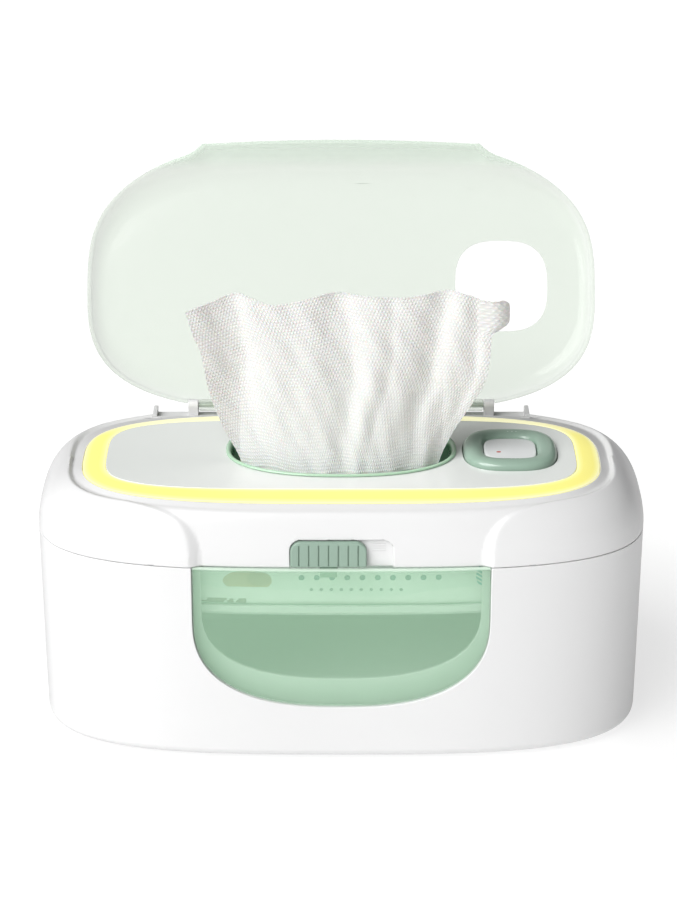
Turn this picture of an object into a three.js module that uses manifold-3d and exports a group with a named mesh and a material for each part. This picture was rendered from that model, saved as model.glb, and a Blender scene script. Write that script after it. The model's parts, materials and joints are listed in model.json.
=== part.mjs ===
// Baby wipe warmer: a lift-up lid with a glowing ring, a clear green dust cover standing open,
// a slide latch, and a window in the body that shows the wipes pack on its sprung tray.
// Millimetres, +Z up, front towards -Y, origin on the floor under the middle of the body.
import * as THREE from 'three';
import { mergeVertices } from 'three/addons/utils/BufferGeometryUtils.js';
import Module from 'manifold-3d';

const wasm = await Module();
wasm.setup();

// Driving sizes of the body
const bodyWidth = 260;
const bodyDepth = 124;
const bodyExponent = 3.2;
const standHeight = 1.2;
const seamHeight = 90.6;
const wideRise = 0.9;
const crestRise = 26.4;
const shoulderReach = 13;
const shoulderSideReach = 20;
const crestExponent = 3;
const draftLean = 0.9;
const bottomRound = 4.5;
const wall = 2.4;
const fitGap = 0.3;
const seamGap = 0.6;
const overrun = 10;

// Seat for the dust cover, sunk into the upper housing
const seatSideMargin = 13.9;
const seatMargin = 10;
const seatExponent = 3.45;
const seatSink = 2.4;
const seatDeckDrop = 3;
const seatFoldReach = 6;
const apronHalfWidth = 61.6;
const apronFlareReach = 28;
const apronFlareDepth = 10.5;
const apronFlareExponent = 1.2;

// Light ring and top panel
const ringCentreY = -3;
const panelSideInset = 15.4;
const panelInset = 14.9;
const panelExponent = 4.1;
const panelRise = 0.7;
const panelThickness = 2;
const ringWidth = 9.6;
const ringExponent = 3.2;
const ringFall = 1.8;
const ringEdgeThickness = 2.8;
const ringLedge = 2.8;
const ringSkirtInset = 3.2;
const ringFoot = 1.6;
const deckThickness = 4.3;

// Dispensing rim
const rimSideInset = 51.2;
const rimInset = 7.6;
const rimExponent = 2.3;
const rimCentreY = 1.2;
const rimLip = 1;
const rimLipHeight = 0.8;
const rimWall = 1.6;
const rimTaper = 1;

// Control ring with its display
const controlSideInset = 28.3;
const controlY = -1.2;
const controlHalf = 20.05;
const controlExponent = 2.8;
const controlRise = 3;
const controlTravel = 1;
const controlFlange = 1.4;
const controlFlangeThickness = 1.4;
const displayHalf = 11.2;
const displayExponent = 3.6;
const displaySink = 1.5;
const boardHalfWidth = 21.5;
const boardHalfDepth = 20.5;
const boardThickness = 1.6;
const boardDrop = 11.1;
const switchHalf = 3;
const switchOffset = 16.4;
const padWidth = 1.5;

// Dust cover, drawn shut and turned open about its own hinge
const coverOpenDegrees = 120.7;
const coverHingeInset = 8;
const coverHingeDrop = 0.5;
const coverSideGap = 1.9;
const coverRearReach = 3.2;
const coverMiddleShift = 0.5;
const coverOverhang = 2.4;
const coverRearExponent = 3.2;
const coverFrontExponent = 2.85;
const coverWall = 1.8;
const coverRise = 8;
const coverTopSideInset = 5.4;
const coverTopRear = 6.5;
const coverTopFrontInset = 14.8;
const coverTopExponent = 2.9;
const coverDropReach = 26.4;
const coverDrop = 12;
const tongueBow = 1.6;
const tongueFillet = 11;
const tongueStep = 3.2;
const tongueTailShare = 0.6;
const tongueTailExponent = 2.5;
const cutoutClearance = 0.7;
const cutoutExponent = 3.6;

// Hinges
const knuckleRadius = 3;
const pinRadius = 1.2;
const mainHingeSideInset = 80;
const mainHingeOverhang = 1.4;
const mainKnuckleLength = 16;
const mainEarLength = 8;
const mainArmBite = 0.4;
const coverHingeSideInset = 72;
const coverKnuckleRadius = 2.5;
const coverKnuckleLength = 11;
const coverEarLength = 4.5;
const coverPinRadius = 1;
const wellSide = 24;
const wellDepth = 5.1;
const wellReach = 8;
const wellWall = 2;

// Slide latch
const sliderWidth = 31.7;
const sliderHeight = 11.4;
const sliderCorner = 4.6;
const sliderThickness = 2.4;
const sliderCentreX = -5.3;
const sliderTravel = 10.7;
const sliderProud = 0.7;
const grooveCount = 7;
const grooveSpacing = 4.1;
const grooveWidth = 0.7;
const grooveDepth = 0.7;
const slotFloor = 1.4;
const hookWidth = 7;
const hookThickness = 1.6;
const hookDrop = 6.2;
const hookBarb = 1.1;
const barbHeight = 1.5;
const stemRise = 3;
const stemHeight = 3;
const keeperThickness = 0.6;
const keeperLip = 1.2;

// Window, pane and tub
const windowSide = 0.7;
const windowExponent = 2.55;
const windowStraight = 24.6;
const windowBottomHeight = 25.8;
const paneSink = 0.6;
const paneThickness = 2;
const paneFlange = 3;
const paneFlangeThickness = 1.2;
const tubOffset = 8.5;
const tubLean = 2.5;
const tubWall = 1.8;
const tubFloorHeight = 11.6;
const tubFlange = 1.8;
const tubFlangeGap = 0.9;
const tubRound = 6;
const tubWindowMargin = 3.4;
const tubWindowRise = 8.5;

// Base plate, feet and screws
const floorLip = 2.4;
const plateOffset = 8.7;
const plateThickness = 2.1;
const lipInset = 7.5;
const footRadius = 8;
const footSideInset = 38;
const footInset = 28;
const footSink = 0.9;
const screwSideInset = 25;
const screwInset = 6.07;
const bossRadius = 3.4;
const screwHeadRadius = 2.4;
const screwHeadHeight = 1;
const screwRadius = 1.3;
const screwBite = 5.5;
const driveRadius = 1.1;
const driveDepth = 0.6;

// Lid liner, heater and seal
const linerOffset = 8.4;
const linerThickness = 1.8;
const linerRise = 8.6;
const carrierOffset = 9;
const carrierThickness = 2;
const sealHeight = 1.6;
const sealCrown = 0.5;
const throatLedge = 1;
const heaterSideInset = 40;
const heaterInset = 21;
const heaterExponent = 4;
const heaterThickness = 1;
const matInset = 4;
const matThickness = 0.9;
const thermostatRadius = 6;
const thermostatHeight = 5;
const thermostatSkirtShare = 0.6;
const thermostatCrownShare = 0.7;
const thermostatSideInset = 62;
const fuseRadius = 1.9;
const fuseLength = 12;
const fuseY = 18;
const ledCount = 16;
const ledHalf = 1.4;
const ledHeight = 1;
const ledBoardThickness = 1.2;
const ledBoardWidth = 6;
const ledBoardInset = 2;

// Power inlet
const jackRadius = 5;
const jackLength = 11;
const jackBore = 3;
const jackBoreDepth = 9;
const jackPin = 0.9;
const jackRise = 2.6;
const jackSetBack = 3.4;

// Tray, springs and wipes
const packClearance = 1.4;
const trayThickness = 1.8;
const trayOffset = 13;
const trayRim = 3;
const trayRimWall = 1.6;
const trayRibSpacing = 26;
const cupRadius = 10;
const cupWall = 1.4;
const cupDepth = 3;
const postRadius = 4.6;
const postHeight = 4;
const springSideInset = 46;
const springRadius = 7;
const springWire = 0.7;
const springTurns = 6;
const packSideInset = 11;
const packInset = 1.5;
const packExponent = 3.6;
const packHeight = 30.6;
const packEdgeShares = [0.9, 0.965, 1, 1, 0.965, 0.86, 0.6];
const packLevelShares = [0, 0.12, 0.35, 0.6, 0.82, 0.95, 1];
const wipeThickness = 0.9;
const wipeStand = 71.3;
const wipeSpread = 26;
const wipeNeckInset = 11.5;
const wipeSet = 5.8;
const wipeBow = 11;
const wipeTopY = -3;
const wipeFold = 8;
const wipeFlareShare = 1.15;
const wipeNeckFoldShare = 0.35;
const wipeDroopShare = 0.35;
const wipeCornerDroopShare = 0.5;
// Each fold of the wipe: its place in the neck and at the top, its width and its depth
const wipeFoldShares = [
  [-0.8, -0.7, 0.14, 1],
  [-0.05, -0.12, 0.13, 1],
  [0.24, 0.18, 0.09, 0.4],
  [0.5, 0.58, 0.13, 1],
  [0.82, 0.8, 0.08, 0.5],
];

// Facet counts
const ovalSteps = 40;
const smallSteps = 8;
const discSteps = 12;
const rimSteps = 36;
const controlSteps = 28;
const hiddenSteps = 30;

// Halves and places that follow the body's width and depth
const halfWidth = bodyWidth / 2;
const halfDepth = bodyDepth / 2;
const seatHalfWidth = halfWidth - seatSideMargin;
const seatHalfDepth = halfDepth - seatMargin;
const panelHalfWidth = seatHalfWidth - panelSideInset;
const panelHalfDepth = seatHalfDepth - panelInset;
const rimHalfWidth = panelHalfWidth - rimSideInset;
const rimHalfDepth = panelHalfDepth - rimInset;
const controlX = panelHalfWidth - controlSideInset;
const coverHingeY = halfDepth - coverHingeInset;
const coverHalfWidth = seatHalfWidth - coverSideGap;
const coverMiddleReach = coverHingeY + coverMiddleShift;
const coverFrontReach = coverHingeY + halfDepth + coverOverhang;
const coverTopHalfWidth = coverHalfWidth - coverTopSideInset;
const coverTopFront = coverFrontReach - coverTopFrontInset;
const coverDropStart = coverFrontReach - coverDropReach;
const tongueHalfWidth = apronHalfWidth - fitGap;
const windowHalfWidth = apronHalfWidth + windowSide;
const mainHingeX = halfWidth - mainHingeSideInset;
const mainHingeY = halfDepth + mainHingeOverhang;
const coverHingeX = halfWidth - coverHingeSideInset;
const wellHalfWidth = coverHingeX + wellSide;
const wellStart = coverHingeY - wellReach;
const footX = halfWidth - footSideInset;
const footY = halfDepth - footInset;
const screwX = halfWidth - screwSideInset;
const carrierInner = carrierOffset + carrierThickness;
const screwEdge = edgeAt(screwX, halfWidth - carrierInner, halfDepth - carrierInner, bodyExponent);
const screwY = screwEdge - screwInset;
const springX = halfWidth - springSideInset;
const throatHalfWidth = rimHalfWidth - rimLip - rimTaper - throatLedge;
const throatHalfDepth = rimHalfDepth - rimLip - rimTaper - throatLedge;
const heaterHalfWidth = halfWidth - heaterSideInset;
const heaterHalfDepth = halfDepth - heaterInset;
const thermostatX = -halfWidth + thermostatSideInset;
const packHalfWidth = halfWidth - trayOffset - packSideInset;
const packHalfDepth = halfDepth - trayOffset - packInset;
const wipeNeckHalfWidth = rimHalfWidth - wipeNeckInset;
const wipeTopHalfWidth = wipeNeckHalfWidth + wipeSpread;
const wipeY = rimCentreY - throatHalfDepth + wipeSet;

// Heights that follow the seam
const lowerTop = seamHeight - seamGap / 2;
const upperBottom = seamHeight + seamGap / 2;
const wideHeight = seamHeight + wideRise;
const crestHeight = seamHeight + crestRise;
const seatDeckHeight = crestHeight - seatDeckDrop;
const deckBottom = seatDeckHeight - deckThickness;
const panelHeight = crestHeight + panelRise;
const ringEdgeHeight = panelHeight - ringFall;
const ringShelf = ringEdgeHeight - ringEdgeThickness - fitGap;
const boardHeight = panelHeight - boardDrop;
const coverHingeZ = crestHeight - coverHingeDrop;
const wellFloorHeight = coverHingeZ - wellDepth;
const windowMiddleHeight = seamHeight - windowStraight;
const tubWindowBottomHeight = windowBottomHeight + tubWindowRise;
const linerHeight = seamHeight + linerRise;
const linerTop = linerHeight + linerThickness;
const jackHeight = linerTop + jackRise;
const carrierBottom = seamHeight + sealHeight + seamGap;
const tubTop = lowerTop - fitGap;
const tubInnerFloor = tubFloorHeight + tubWall;
const matTop = linerHeight - fitGap;
const matBottom = matTop - matThickness;
const heaterTop = matBottom - fitGap;
const heaterBottom = heaterTop - heaterThickness;
const packBottom = heaterBottom - packClearance - packHeight;
const trayHeight = packBottom - fitGap - trayThickness;
const wipeTopHeight = panelHeight + wipeStand;

// Unit helpers for points, rings and solids
const turn = Math.PI * 2;

function ovalShares(exponent, count) {
  const corner = 0.07;
  return Array.from({ length: count }, (_, i) => {
    const even = (turn * i) / count;
    const angle = even + corner * Math.sin(4 * even);
    const c = Math.cos(angle);
    const s = Math.sin(angle);
    const size = Math.pow(Math.pow(Math.abs(c), exponent) + Math.pow(Math.abs(s), exponent), -1 / exponent);
    return [c * size, s * size];
  });
}

function oval(halfX, halfY, exponent, centreX = 0, centreY = 0, count = ovalSteps) {
  return ovalShares(exponent, count).map(
    ([u, v]) => new THREE.Vector2(centreX + u * halfX, centreY + v * halfY));
}

function ring(points, z) {
  return points.map((p) => new THREE.Vector3(p.x, p.y, z));
}

function bodyRing(offset, z, count = ovalSteps, sideOffset = offset, exponent = bodyExponent) {
  return ring(oval(halfWidth - sideOffset, halfDepth - offset, exponent, 0, 0, count), z);
}

function innerRing(offset, z) {
  return bodyRing(offset, z, hiddenSteps);
}

function closedGeometry(positions, index) {
  const geometry = new THREE.BufferGeometry();
  geometry.setAttribute('position', new THREE.Float32BufferAttribute(positions, 3));
  let volume = 0;
  const a = new THREE.Vector3();
  const b = new THREE.Vector3();
  const c = new THREE.Vector3();
  for (let i = 0; i < index.length; i += 3) {
    a.fromArray(positions, index[i] * 3);
    b.fromArray(positions, index[i + 1] * 3);
    c.fromArray(positions, index[i + 2] * 3);
    volume += a.dot(b.cross(c));
  }
  if (volume < 0) index.reverse();
  geometry.setIndex(index);
  return geometry;
}

// A skin through rings of equal count: capped at both ends, or joined from the last to the first
function loft(rings, joined = false) {
  const count = rings[0].length;
  const positions = rings.flat().flatMap((p) => [p.x, p.y, p.z]);
  const index = [];
  const spans = joined ? rings.length : rings.length - 1;
  for (let k = 0; k < spans; k += 1) {
    const low = k * count;
    const high = ((k + 1) % rings.length) * count;
    for (let i = 0; i < count; i += 1) {
      const j = (i + 1) % count;
      index.push(low + i, low + j, high + j, low + i, high + j, high + i);
    }
  }
  if (!joined) {
    [0, rings.length - 1].forEach((k) => {
      const middle = rings[k].reduce((sum, p) => sum.add(p), new THREE.Vector3()).divideScalar(count);
      const centre = positions.length / 3;
      positions.push(middle.x, middle.y, middle.z);
      for (let i = 0; i < count; i += 1) {
        const j = (i + 1) % count;
        const edge = k === 0 ? [j, i] : [i, j];
        index.push(centre, k * count + edge[0], k * count + edge[1]);
      }
    });
  }
  return closedGeometry(positions, index);
}

function solid(geometry) {
  const plain = geometry.clone();
  plain.deleteAttribute('normal');
  plain.deleteAttribute('uv');
  const merged = mergeVertices(plain);
  return new wasm.Manifold(new wasm.Mesh({
    numProp: 3,
    vertProperties: new Float32Array(merged.attributes.position.array),
    triVerts: new Uint32Array(merged.index.array),
  }));
}

function geometryOf(shape) {
  const result = shape.getMesh();
  const geometry = new THREE.BufferGeometry();
  geometry.setAttribute('position', new THREE.Float32BufferAttribute(result.vertProperties, 3));
  geometry.setIndex(Array.from(result.triVerts));
  return geometry;
}

function extruded(outline, depth) {
  return new THREE.ExtrudeGeometry(new THREE.Shape(outline), { depth, bevelEnabled: false });
}

// A prism standing on z = low, from an outline in x and y
function prism(outline, low, high) {
  return solid(extruded(outline, high - low).translate(0, 0, low));
}

// A prism lying along y, from an outline in x and z
function frontPrism(outline, near, far) {
  return solid(extruded(outline, far - near).rotateX(Math.PI / 2).translate(0, far, 0));
}

function block(x0, x1, y0, y1, z0, z1) {
  const geometry = new THREE.BoxGeometry(x1 - x0, y1 - y0, z1 - z0);
  return solid(geometry.translate((x0 + x1) / 2, (y0 + y1) / 2, (z0 + z1) / 2));
}

function post(radius, x, y, low, high, steps = smallSteps) {
  const geometry = new THREE.CylinderGeometry(radius, radius, high - low, steps).rotateX(Math.PI / 2);
  return solid(geometry.translate(x, y, (low + high) / 2));
}

function barrel(radius, x0, x1, y, z, steps = smallSteps) {
  const geometry = new THREE.CylinderGeometry(radius, radius, x1 - x0, steps).rotateZ(Math.PI / 2);
  return solid(geometry.translate((x0 + x1) / 2, y, z));
}

function joined(shapes) {
  return shapes.reduce((sum, shape) => sum.add(shape));
}

function cut(shape, cutters) {
  return cutters.reduce((rest, cutter) => rest.subtract(cutter), shape);
}

const mirrorSides = [-1, 1];
const corners = [[-1, -1], [1, -1], [1, 1], [-1, 1]];

// Body sections: a full solid of the outer form, drawn in by an offset
const arcSteps = 4;

function arc(count, from = 0, to = 1) {
  return Array.from({ length: count + 1 }, (_, i) => (Math.PI / 2) * (from + ((to - from) * i) / count));
}

function shoulderRings(offset, reach, top, steps = arcSteps, count = ovalSteps) {
  const sideReach = reach + shoulderSideReach - shoulderReach;
  return arc(steps).map((a) => {
    const drawn = 1 - Math.cos(a);
    return bodyRing(
      offset + reach * drawn, wideHeight + (top - wideHeight) * Math.sin(a), count,
      offset + sideReach * drawn, bodyExponent + (crestExponent - bodyExponent) * drawn);
  });
}

// Half of the depth of a superellipse at a distance from its middle
function edgeAt(x, halfX, halfY, exponent) {
  const share = Math.min(1, Math.abs(x) / halfX);
  return halfY * Math.pow(1 - Math.pow(share, exponent), 1 / exponent);
}

function armStart(left, right) {
  const outerEnd = Math.max(Math.abs(left), Math.abs(right));
  return edgeAt(outerEnd, halfWidth, halfDepth, bodyExponent) - mainArmBite;
}

function lowerOffset(z) {
  return (draftLean * (seamHeight - z)) / seamHeight;
}

// The wall of the lower housing as a solid core, from its floor to its rim
function lowerCore(offset, low, high) {
  return solid(loft([bodyRing(offset + lowerOffset(low), low), bodyRing(offset + lowerOffset(high), high)]));
}

function windowOutline(grow, bottom, top, middle) {
  const steps = 22;
  const half = windowHalfWidth + grow;
  const drop = middle - bottom;
  const points = Array.from({ length: steps + 1 }, (_, i) => {
    const angle = Math.PI + (Math.PI * i) / steps;
    const c = Math.cos(angle);
    const s = Math.sin(angle);
    const share = Math.pow(
      Math.pow(Math.abs(c), windowExponent) + Math.pow(Math.abs(s), windowExponent), -1 / windowExponent);
    return new THREE.Vector2(c * share * half, middle + s * share * drop);
  });
  return [...points, new THREE.Vector2(half, top), new THREE.Vector2(-half, top)];
}

function lowerHousing() {
  const rest = lowerOffset(standHeight);
  const bottomArc = arc(3).map((a) => bodyRing(
    rest + bottomRound * (1 - Math.sin(a)), standHeight + bottomRound * (1 - Math.cos(a))));
  const plateEdge = plateOffset - fitGap;
  const lipHeight = standHeight + plateThickness + fitGap;
  const lipTop = lipHeight + floorLip;
  const innerTurn = windowBottomHeight / 2;
  const shell = solid(loft([
    bodyRing(plateEdge, standHeight),
    ...bottomArc,
    bodyRing(lowerOffset(lowerTop), lowerTop),
    bodyRing(wall + lowerOffset(lowerTop), lowerTop),
    bodyRing(wall + lowerOffset(innerTurn), innerTurn),
    bodyRing(wall + rest + bottomRound / 2, lipTop),
    bodyRing(plateEdge + lipInset, lipTop),
    bodyRing(plateEdge + lipInset, lipHeight),
    bodyRing(plateEdge, lipHeight),
  ], true));
  const bosses = corners.map(([sx, sy]) => post(
    bossRadius, sx * screwX, sy * screwY, lipHeight, tubFloorHeight - fitGap));
  const holes = corners.map(([sx, sy]) => post(
    screwRadius + fitGap / 2, sx * screwX, sy * screwY, standHeight, lipHeight + screwBite));
  const opening = frontPrism(
    windowOutline(0, windowBottomHeight, lowerTop + overrun, windowMiddleHeight),
    -halfDepth - overrun, -halfDepth / 2);
  const knuckles = mirrorSides.flatMap((side) => mirrorSides.map((end) => {
    const middle = side * mainHingeX + (end * (mainKnuckleLength + mainEarLength)) / 2 + end * fitGap;
    const left = middle - mainEarLength / 2;
    const right = middle + mainEarLength / 2;
    const arm = block(
      left, right, armStart(left, right), mainHingeY, seamHeight - knuckleRadius, lowerTop);
    return barrel(knuckleRadius, left, right, mainHingeY, seamHeight).add(arm);
  }));
  const clearances = mirrorSides.map((side) => barrel(
    knuckleRadius + fitGap,
    side * mainHingeX - mainKnuckleLength / 2 - fitGap,
    side * mainHingeX + mainKnuckleLength / 2 + fitGap, mainHingeY, seamHeight));
  const bores = mirrorSides.map((side) => hingePinSpace(side, pinRadius + fitGap));
  const form = joined([shell, ...bosses, ...knuckles]);
  return geometryOf(cut(form, [...holes, opening, ...clearances, ...bores]));
}

function hingePinSpace(side, radius) {
  const half = mainKnuckleLength / 2 + mainEarLength;
  return barrel(radius, side * mainHingeX - half, side * mainHingeX + half, mainHingeY, seamHeight);
}

function windowPane() {
  const plugOutline = windowOutline(-fitGap, windowBottomHeight + fitGap, lowerTop, windowMiddleHeight);
  const flangeTop = tubTop - tubFlange - fitGap;
  const flangeOutline = windowOutline(
    paneFlange, windowBottomHeight - paneFlange, flangeTop, windowMiddleHeight);
  const back = wall + fitGap;
  const inside = back + paneFlangeThickness;
  const low = windowBottomHeight - paneFlange - overrun;
  const high = lowerTop + overrun;
  const plugBack = paneSink + paneThickness + fitGap;
  const plugSkin = lowerCore(paneSink, low, high).subtract(lowerCore(plugBack, low, high));
  const flangeSkin = lowerCore(back, low, high).subtract(lowerCore(inside, low, high));
  const plug = plugSkin.intersect(frontPrism(plugOutline, -halfDepth - overrun, 0));
  const flange = flangeSkin.intersect(frontPrism(flangeOutline, -halfDepth - overrun, 0));
  return geometryOf(plug.add(flange));
}

function innerTub() {
  const outerAt = (z) => tubOffset + (tubLean * (tubTop - z)) / (tubTop - tubFloorHeight);
  const roundArc = arc(3).map((a) => innerRing(
    outerAt(tubFloorHeight) + tubRound * (1 - Math.sin(a)), tubFloorHeight + tubRound * (1 - Math.cos(a))));
  const innerArc = arc(3).reverse().map((a) => innerRing(
    outerAt(tubFloorHeight) + tubWall + (tubRound - tubWall) * (1 - Math.sin(a)),
    tubInnerFloor + (tubRound - tubWall) * (1 - Math.cos(a))));
  const flangeOffset = wall + lowerOffset(lowerTop) + tubFlangeGap;
  const shell = solid(loft([
    ...roundArc,
    innerRing(outerAt(tubTop - tubFlange), tubTop - tubFlange),
    innerRing(flangeOffset, tubTop - tubFlange),
    innerRing(flangeOffset, tubTop),
    innerRing(outerAt(tubTop) + tubWall, tubTop),
    ...innerArc,
  ]));
  const view = frontPrism(
    windowOutline(-tubWindowMargin, tubWindowBottomHeight, tubTop - tubFlange, windowMiddleHeight),
    -halfDepth - overrun, -halfDepth / 2);
  const hookWay = block(
    -halfWidth, halfWidth, -halfDepth, tubOffset + fitGap * 2 - halfDepth,
    tubTop - tubFlange - fitGap, tubTop + fitGap);
  const posts = mirrorSides.map((side) => post(
    postRadius, side * springX, 0, tubFloorHeight + tubWall / 2, tubInnerFloor + postHeight));
  return geometryOf(cut(joined([shell, ...posts]), [view, hookWay]));
}

function basePlate() {
  const top = standHeight + plateThickness;
  const plate = prism(
    oval(halfWidth - plateOffset, halfDepth - plateOffset, bodyExponent), standHeight, top);
  const footHoles = corners.map(([sx, sy]) => post(
    footRadius + fitGap, sx * footX, sy * footY, 0, standHeight + footSink, discSteps));
  const holes = corners.map(([sx, sy]) => post(
    screwRadius + fitGap, sx * screwX, sy * screwY, 0, top + overrun));
  const sinks = corners.map(([sx, sy]) => post(
    screwHeadRadius + fitGap, sx * screwX, sy * screwY, 0, standHeight + screwHeadHeight));
  const ventCount = 5;
  const ventHalf = footX / 4;
  const ventWidth = floorLip;
  const vents = Array.from({ length: ventCount }, (_, i) => {
    const y = (i - (ventCount - 1) / 2) * ventWidth * 2 + footY / 2;
    return block(-ventHalf, ventHalf, y - ventWidth / 2, y + ventWidth / 2, 0, top + overrun);
  });
  return geometryOf(cut(plate, [...footHoles, ...holes, ...sinks, ...vents]));
}

function foot() {
  const top = standHeight + footSink - fitGap;
  const edge = standHeight / 2;
  const profile = [
    new THREE.Vector2(0, 0),
    new THREE.Vector2(footRadius - edge, 0),
    new THREE.Vector2(footRadius, edge),
    new THREE.Vector2(footRadius, top),
    new THREE.Vector2(0, top),
  ];
  return new THREE.LatheGeometry(profile, discSteps).rotateX(Math.PI / 2);
}

// A pan-head screw with a six-sided drive, its head down and its tip up
function screw() {
  const bite = new THREE.CylinderGeometry(driveRadius, driveRadius, driveDepth * 2, 6).rotateX(Math.PI / 2);
  const profile = [
    new THREE.Vector2(0, 0),
    new THREE.Vector2(screwHeadRadius, 0),
    new THREE.Vector2(screwHeadRadius, screwHeadHeight - fitGap),
    new THREE.Vector2(screwRadius, screwHeadHeight - fitGap),
    new THREE.Vector2(screwRadius, screwBite),
    new THREE.Vector2(0, screwBite + screwRadius),
  ];
  const turned = new THREE.LatheGeometry(profile, smallSteps).rotateX(Math.PI / 2);
  return geometryOf(solid(turned).subtract(solid(bite)));
}

// Places in depth at the latch, counted back from the apron's face
const apronFaceY = -halfDepth + seatSink;
const sliderFaceY = apronFaceY - sliderProud;
const pocketY = sliderFaceY + sliderThickness + fitGap;
const latchBackY = pocketY + slotFloor;
const hookFrontY = latchBackY + fitGap;
const hookBackY = hookFrontY + hookThickness;
const slotTop = upperBottom + sliderHeight + fitGap * 2;
const sliderBottom = upperBottom + fitGap;
const stemLow = upperBottom + stemRise;
const slotLow = sliderCentreX - sliderWidth / 2 - fitGap;
const slotHigh = sliderCentreX + sliderWidth / 2 + sliderTravel + fitGap;

function roundedTop(left, right, bottom, top, corner) {
  const shape = new THREE.Shape();
  shape.moveTo(left, bottom);
  shape.lineTo(right, bottom);
  shape.lineTo(right, top - corner);
  shape.absarc(right - corner, top - corner, corner, 0, Math.PI / 2, false);
  shape.absarc(left + corner, top - corner, corner, Math.PI / 2, Math.PI, false);
  return shape.getPoints(4);
}

function seatPrism(low, high) {
  const seat = prism(oval(seatHalfWidth, seatHalfDepth, seatExponent), low, high);
  const flareSteps = 7;
  const side = Array.from({ length: flareSteps + 1 }, (_, i) => {
    const share = i / flareSteps;
    const x = apronHalfWidth + apronFlareReach * share * share;
    const flare = apronFlareDepth * Math.pow(1 - share, apronFlareExponent);
    return [x, -edgeAt(x, seatHalfWidth, seatHalfDepth, seatExponent) - flare];
  });
  const front = -halfDepth - overrun;
  const right = side.map(([x, y]) => new THREE.Vector2(x, y));
  const left = side.map(([x, y]) => new THREE.Vector2(-x, y)).reverse();
  const outline = [
    new THREE.Vector2(-apronHalfWidth, front),
    new THREE.Vector2(apronHalfWidth, front),
    ...right,
    ...left,
  ];
  return seat.add(prism(outline, low, high));
}

function upperHousing() {
  const outer = solid(loft([bodyRing(0, upperBottom), ...shoulderRings(0, shoulderReach, crestHeight)]));
  const deckEdge = ring(panelOval(ringWidth + fitGap), ringEdgeHeight - fitGap);
  const core = solid(loft([
    bodyRing(seatSink, upperBottom),
    ...shoulderRings(seatSink, seatFoldReach, seatDeckHeight),
    deckEdge,
  ]));
  const inside = seatSink + wall;
  const cavity = solid(loft([
    innerRing(inside, upperBottom - overrun),
    ...shoulderRings(inside, shoulderReach, deckBottom, arcSteps - 1, hiddenSteps),
  ]));
  const seat = seatPrism(upperBottom - overrun, crestHeight + overrun);
  const form = outer.subtract(seat).add(core.intersect(outer));
  const wellBlock = block(
    -wellHalfWidth - wellWall, wellHalfWidth + wellWall,
    wellStart - wellWall, halfDepth - wall, wellFloorHeight - wellWall, crestHeight);
  const latchBlock = block(
    slotLow - wall, slotHigh + wall, apronFaceY + wall / 2, latchBackY, upperBottom, slotTop + wall);
  const bosses = corners.map(([sx, sy]) => post(
    bossRadius, sx * screwX, sy * screwY, linerTop + fitGap, deckBottom + wall / 2));
  const knuckles = mirrorSides.map((side) => {
    const left = side * mainHingeX - mainKnuckleLength / 2;
    const right = side * mainHingeX + mainKnuckleLength / 2;
    const arm = block(
      left, right, armStart(left, right), mainHingeY, upperBottom, seamHeight + knuckleRadius);
    return barrel(knuckleRadius, left, right, mainHingeY, seamHeight).add(arm);
  });
  const inlets = [wellBlock.intersect(form), latchBlock.intersect(form)];
  const shell = joined([form.subtract(cavity), ...inlets, ...bosses, ...knuckles]);
  const well = block(
    -wellHalfWidth, wellHalfWidth, wellStart, halfDepth + overrun, wellFloorHeight, crestHeight + overrun);
  const throughHole = prism(
    panelOval(ringWidth - ringLedge), deckBottom - overrun, crestHeight + overrun);
  const shelf = prism(panelOval(ringWidth + fitGap), ringShelf, crestHeight + overrun);
  const slot = frontPrism(
    roundedTop(slotLow, slotHigh, upperBottom - overrun, slotTop, sliderCorner),
    -halfDepth - overrun, pocketY);
  const stemSlot = block(
    sliderCentreX - hookWidth / 2 - fitGap, sliderCentreX + sliderTravel + hookWidth / 2 + fitGap,
    pocketY - wall, latchBackY + wall, stemLow - fitGap, stemLow + stemHeight + fitGap);
  const earRoom = mirrorSides.flatMap((side) => mirrorSides.map((end) => {
    const middle = side * mainHingeX + (end * (mainKnuckleLength + mainEarLength)) / 2 + end * fitGap;
    const half = mainEarLength / 2 + fitGap;
    return barrel(knuckleRadius + fitGap, middle - half, middle + half, mainHingeY, seamHeight);
  }));
  const bores = mirrorSides.map((side) => hingePinSpace(side, pinRadius + fitGap));
  const screwHoles = corners.map(([sx, sy]) => post(
    screwRadius + fitGap / 2, sx * screwX, sy * screwY, linerTop, linerTop + screwBite + screwRadius));
  const jackHole = jackBarrel(jackRadius + fitGap, -overrun, jackLength + overrun);
  const ears = mirrorSides.flatMap((side) => mirrorSides.map((end) => {
    const middle = side * coverHingeX + (end * (coverKnuckleLength + coverEarLength)) / 2 + end * fitGap;
    const left = middle - coverEarLength / 2;
    const right = middle + coverEarLength / 2;
    const stand = block(
      left, right, coverHingeY - coverKnuckleRadius, coverHingeY + coverKnuckleRadius,
      wellFloorHeight - wellWall / 2, coverHingeZ);
    return stand.add(barrel(coverKnuckleRadius, left, right, coverHingeY, coverHingeZ));
  }));
  const coverBores = mirrorSides.map((side) => coverPinSpace(side, coverPinRadius + fitGap));
  const openings = [well, throughHole, shelf, slot, stemSlot, jackHole];
  const opened = cut(shell, [...openings, ...earRoom, ...bores, ...screwHoles]);
  return geometryOf(cut(joined([opened, ...ears]), coverBores));
}

function coverPinSpace(side, radius) {
  const half = coverKnuckleLength / 2 + coverEarLength + fitGap;
  return barrel(radius, side * coverHingeX - half, side * coverHingeX + half, coverHingeY, coverHingeZ);
}

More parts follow.
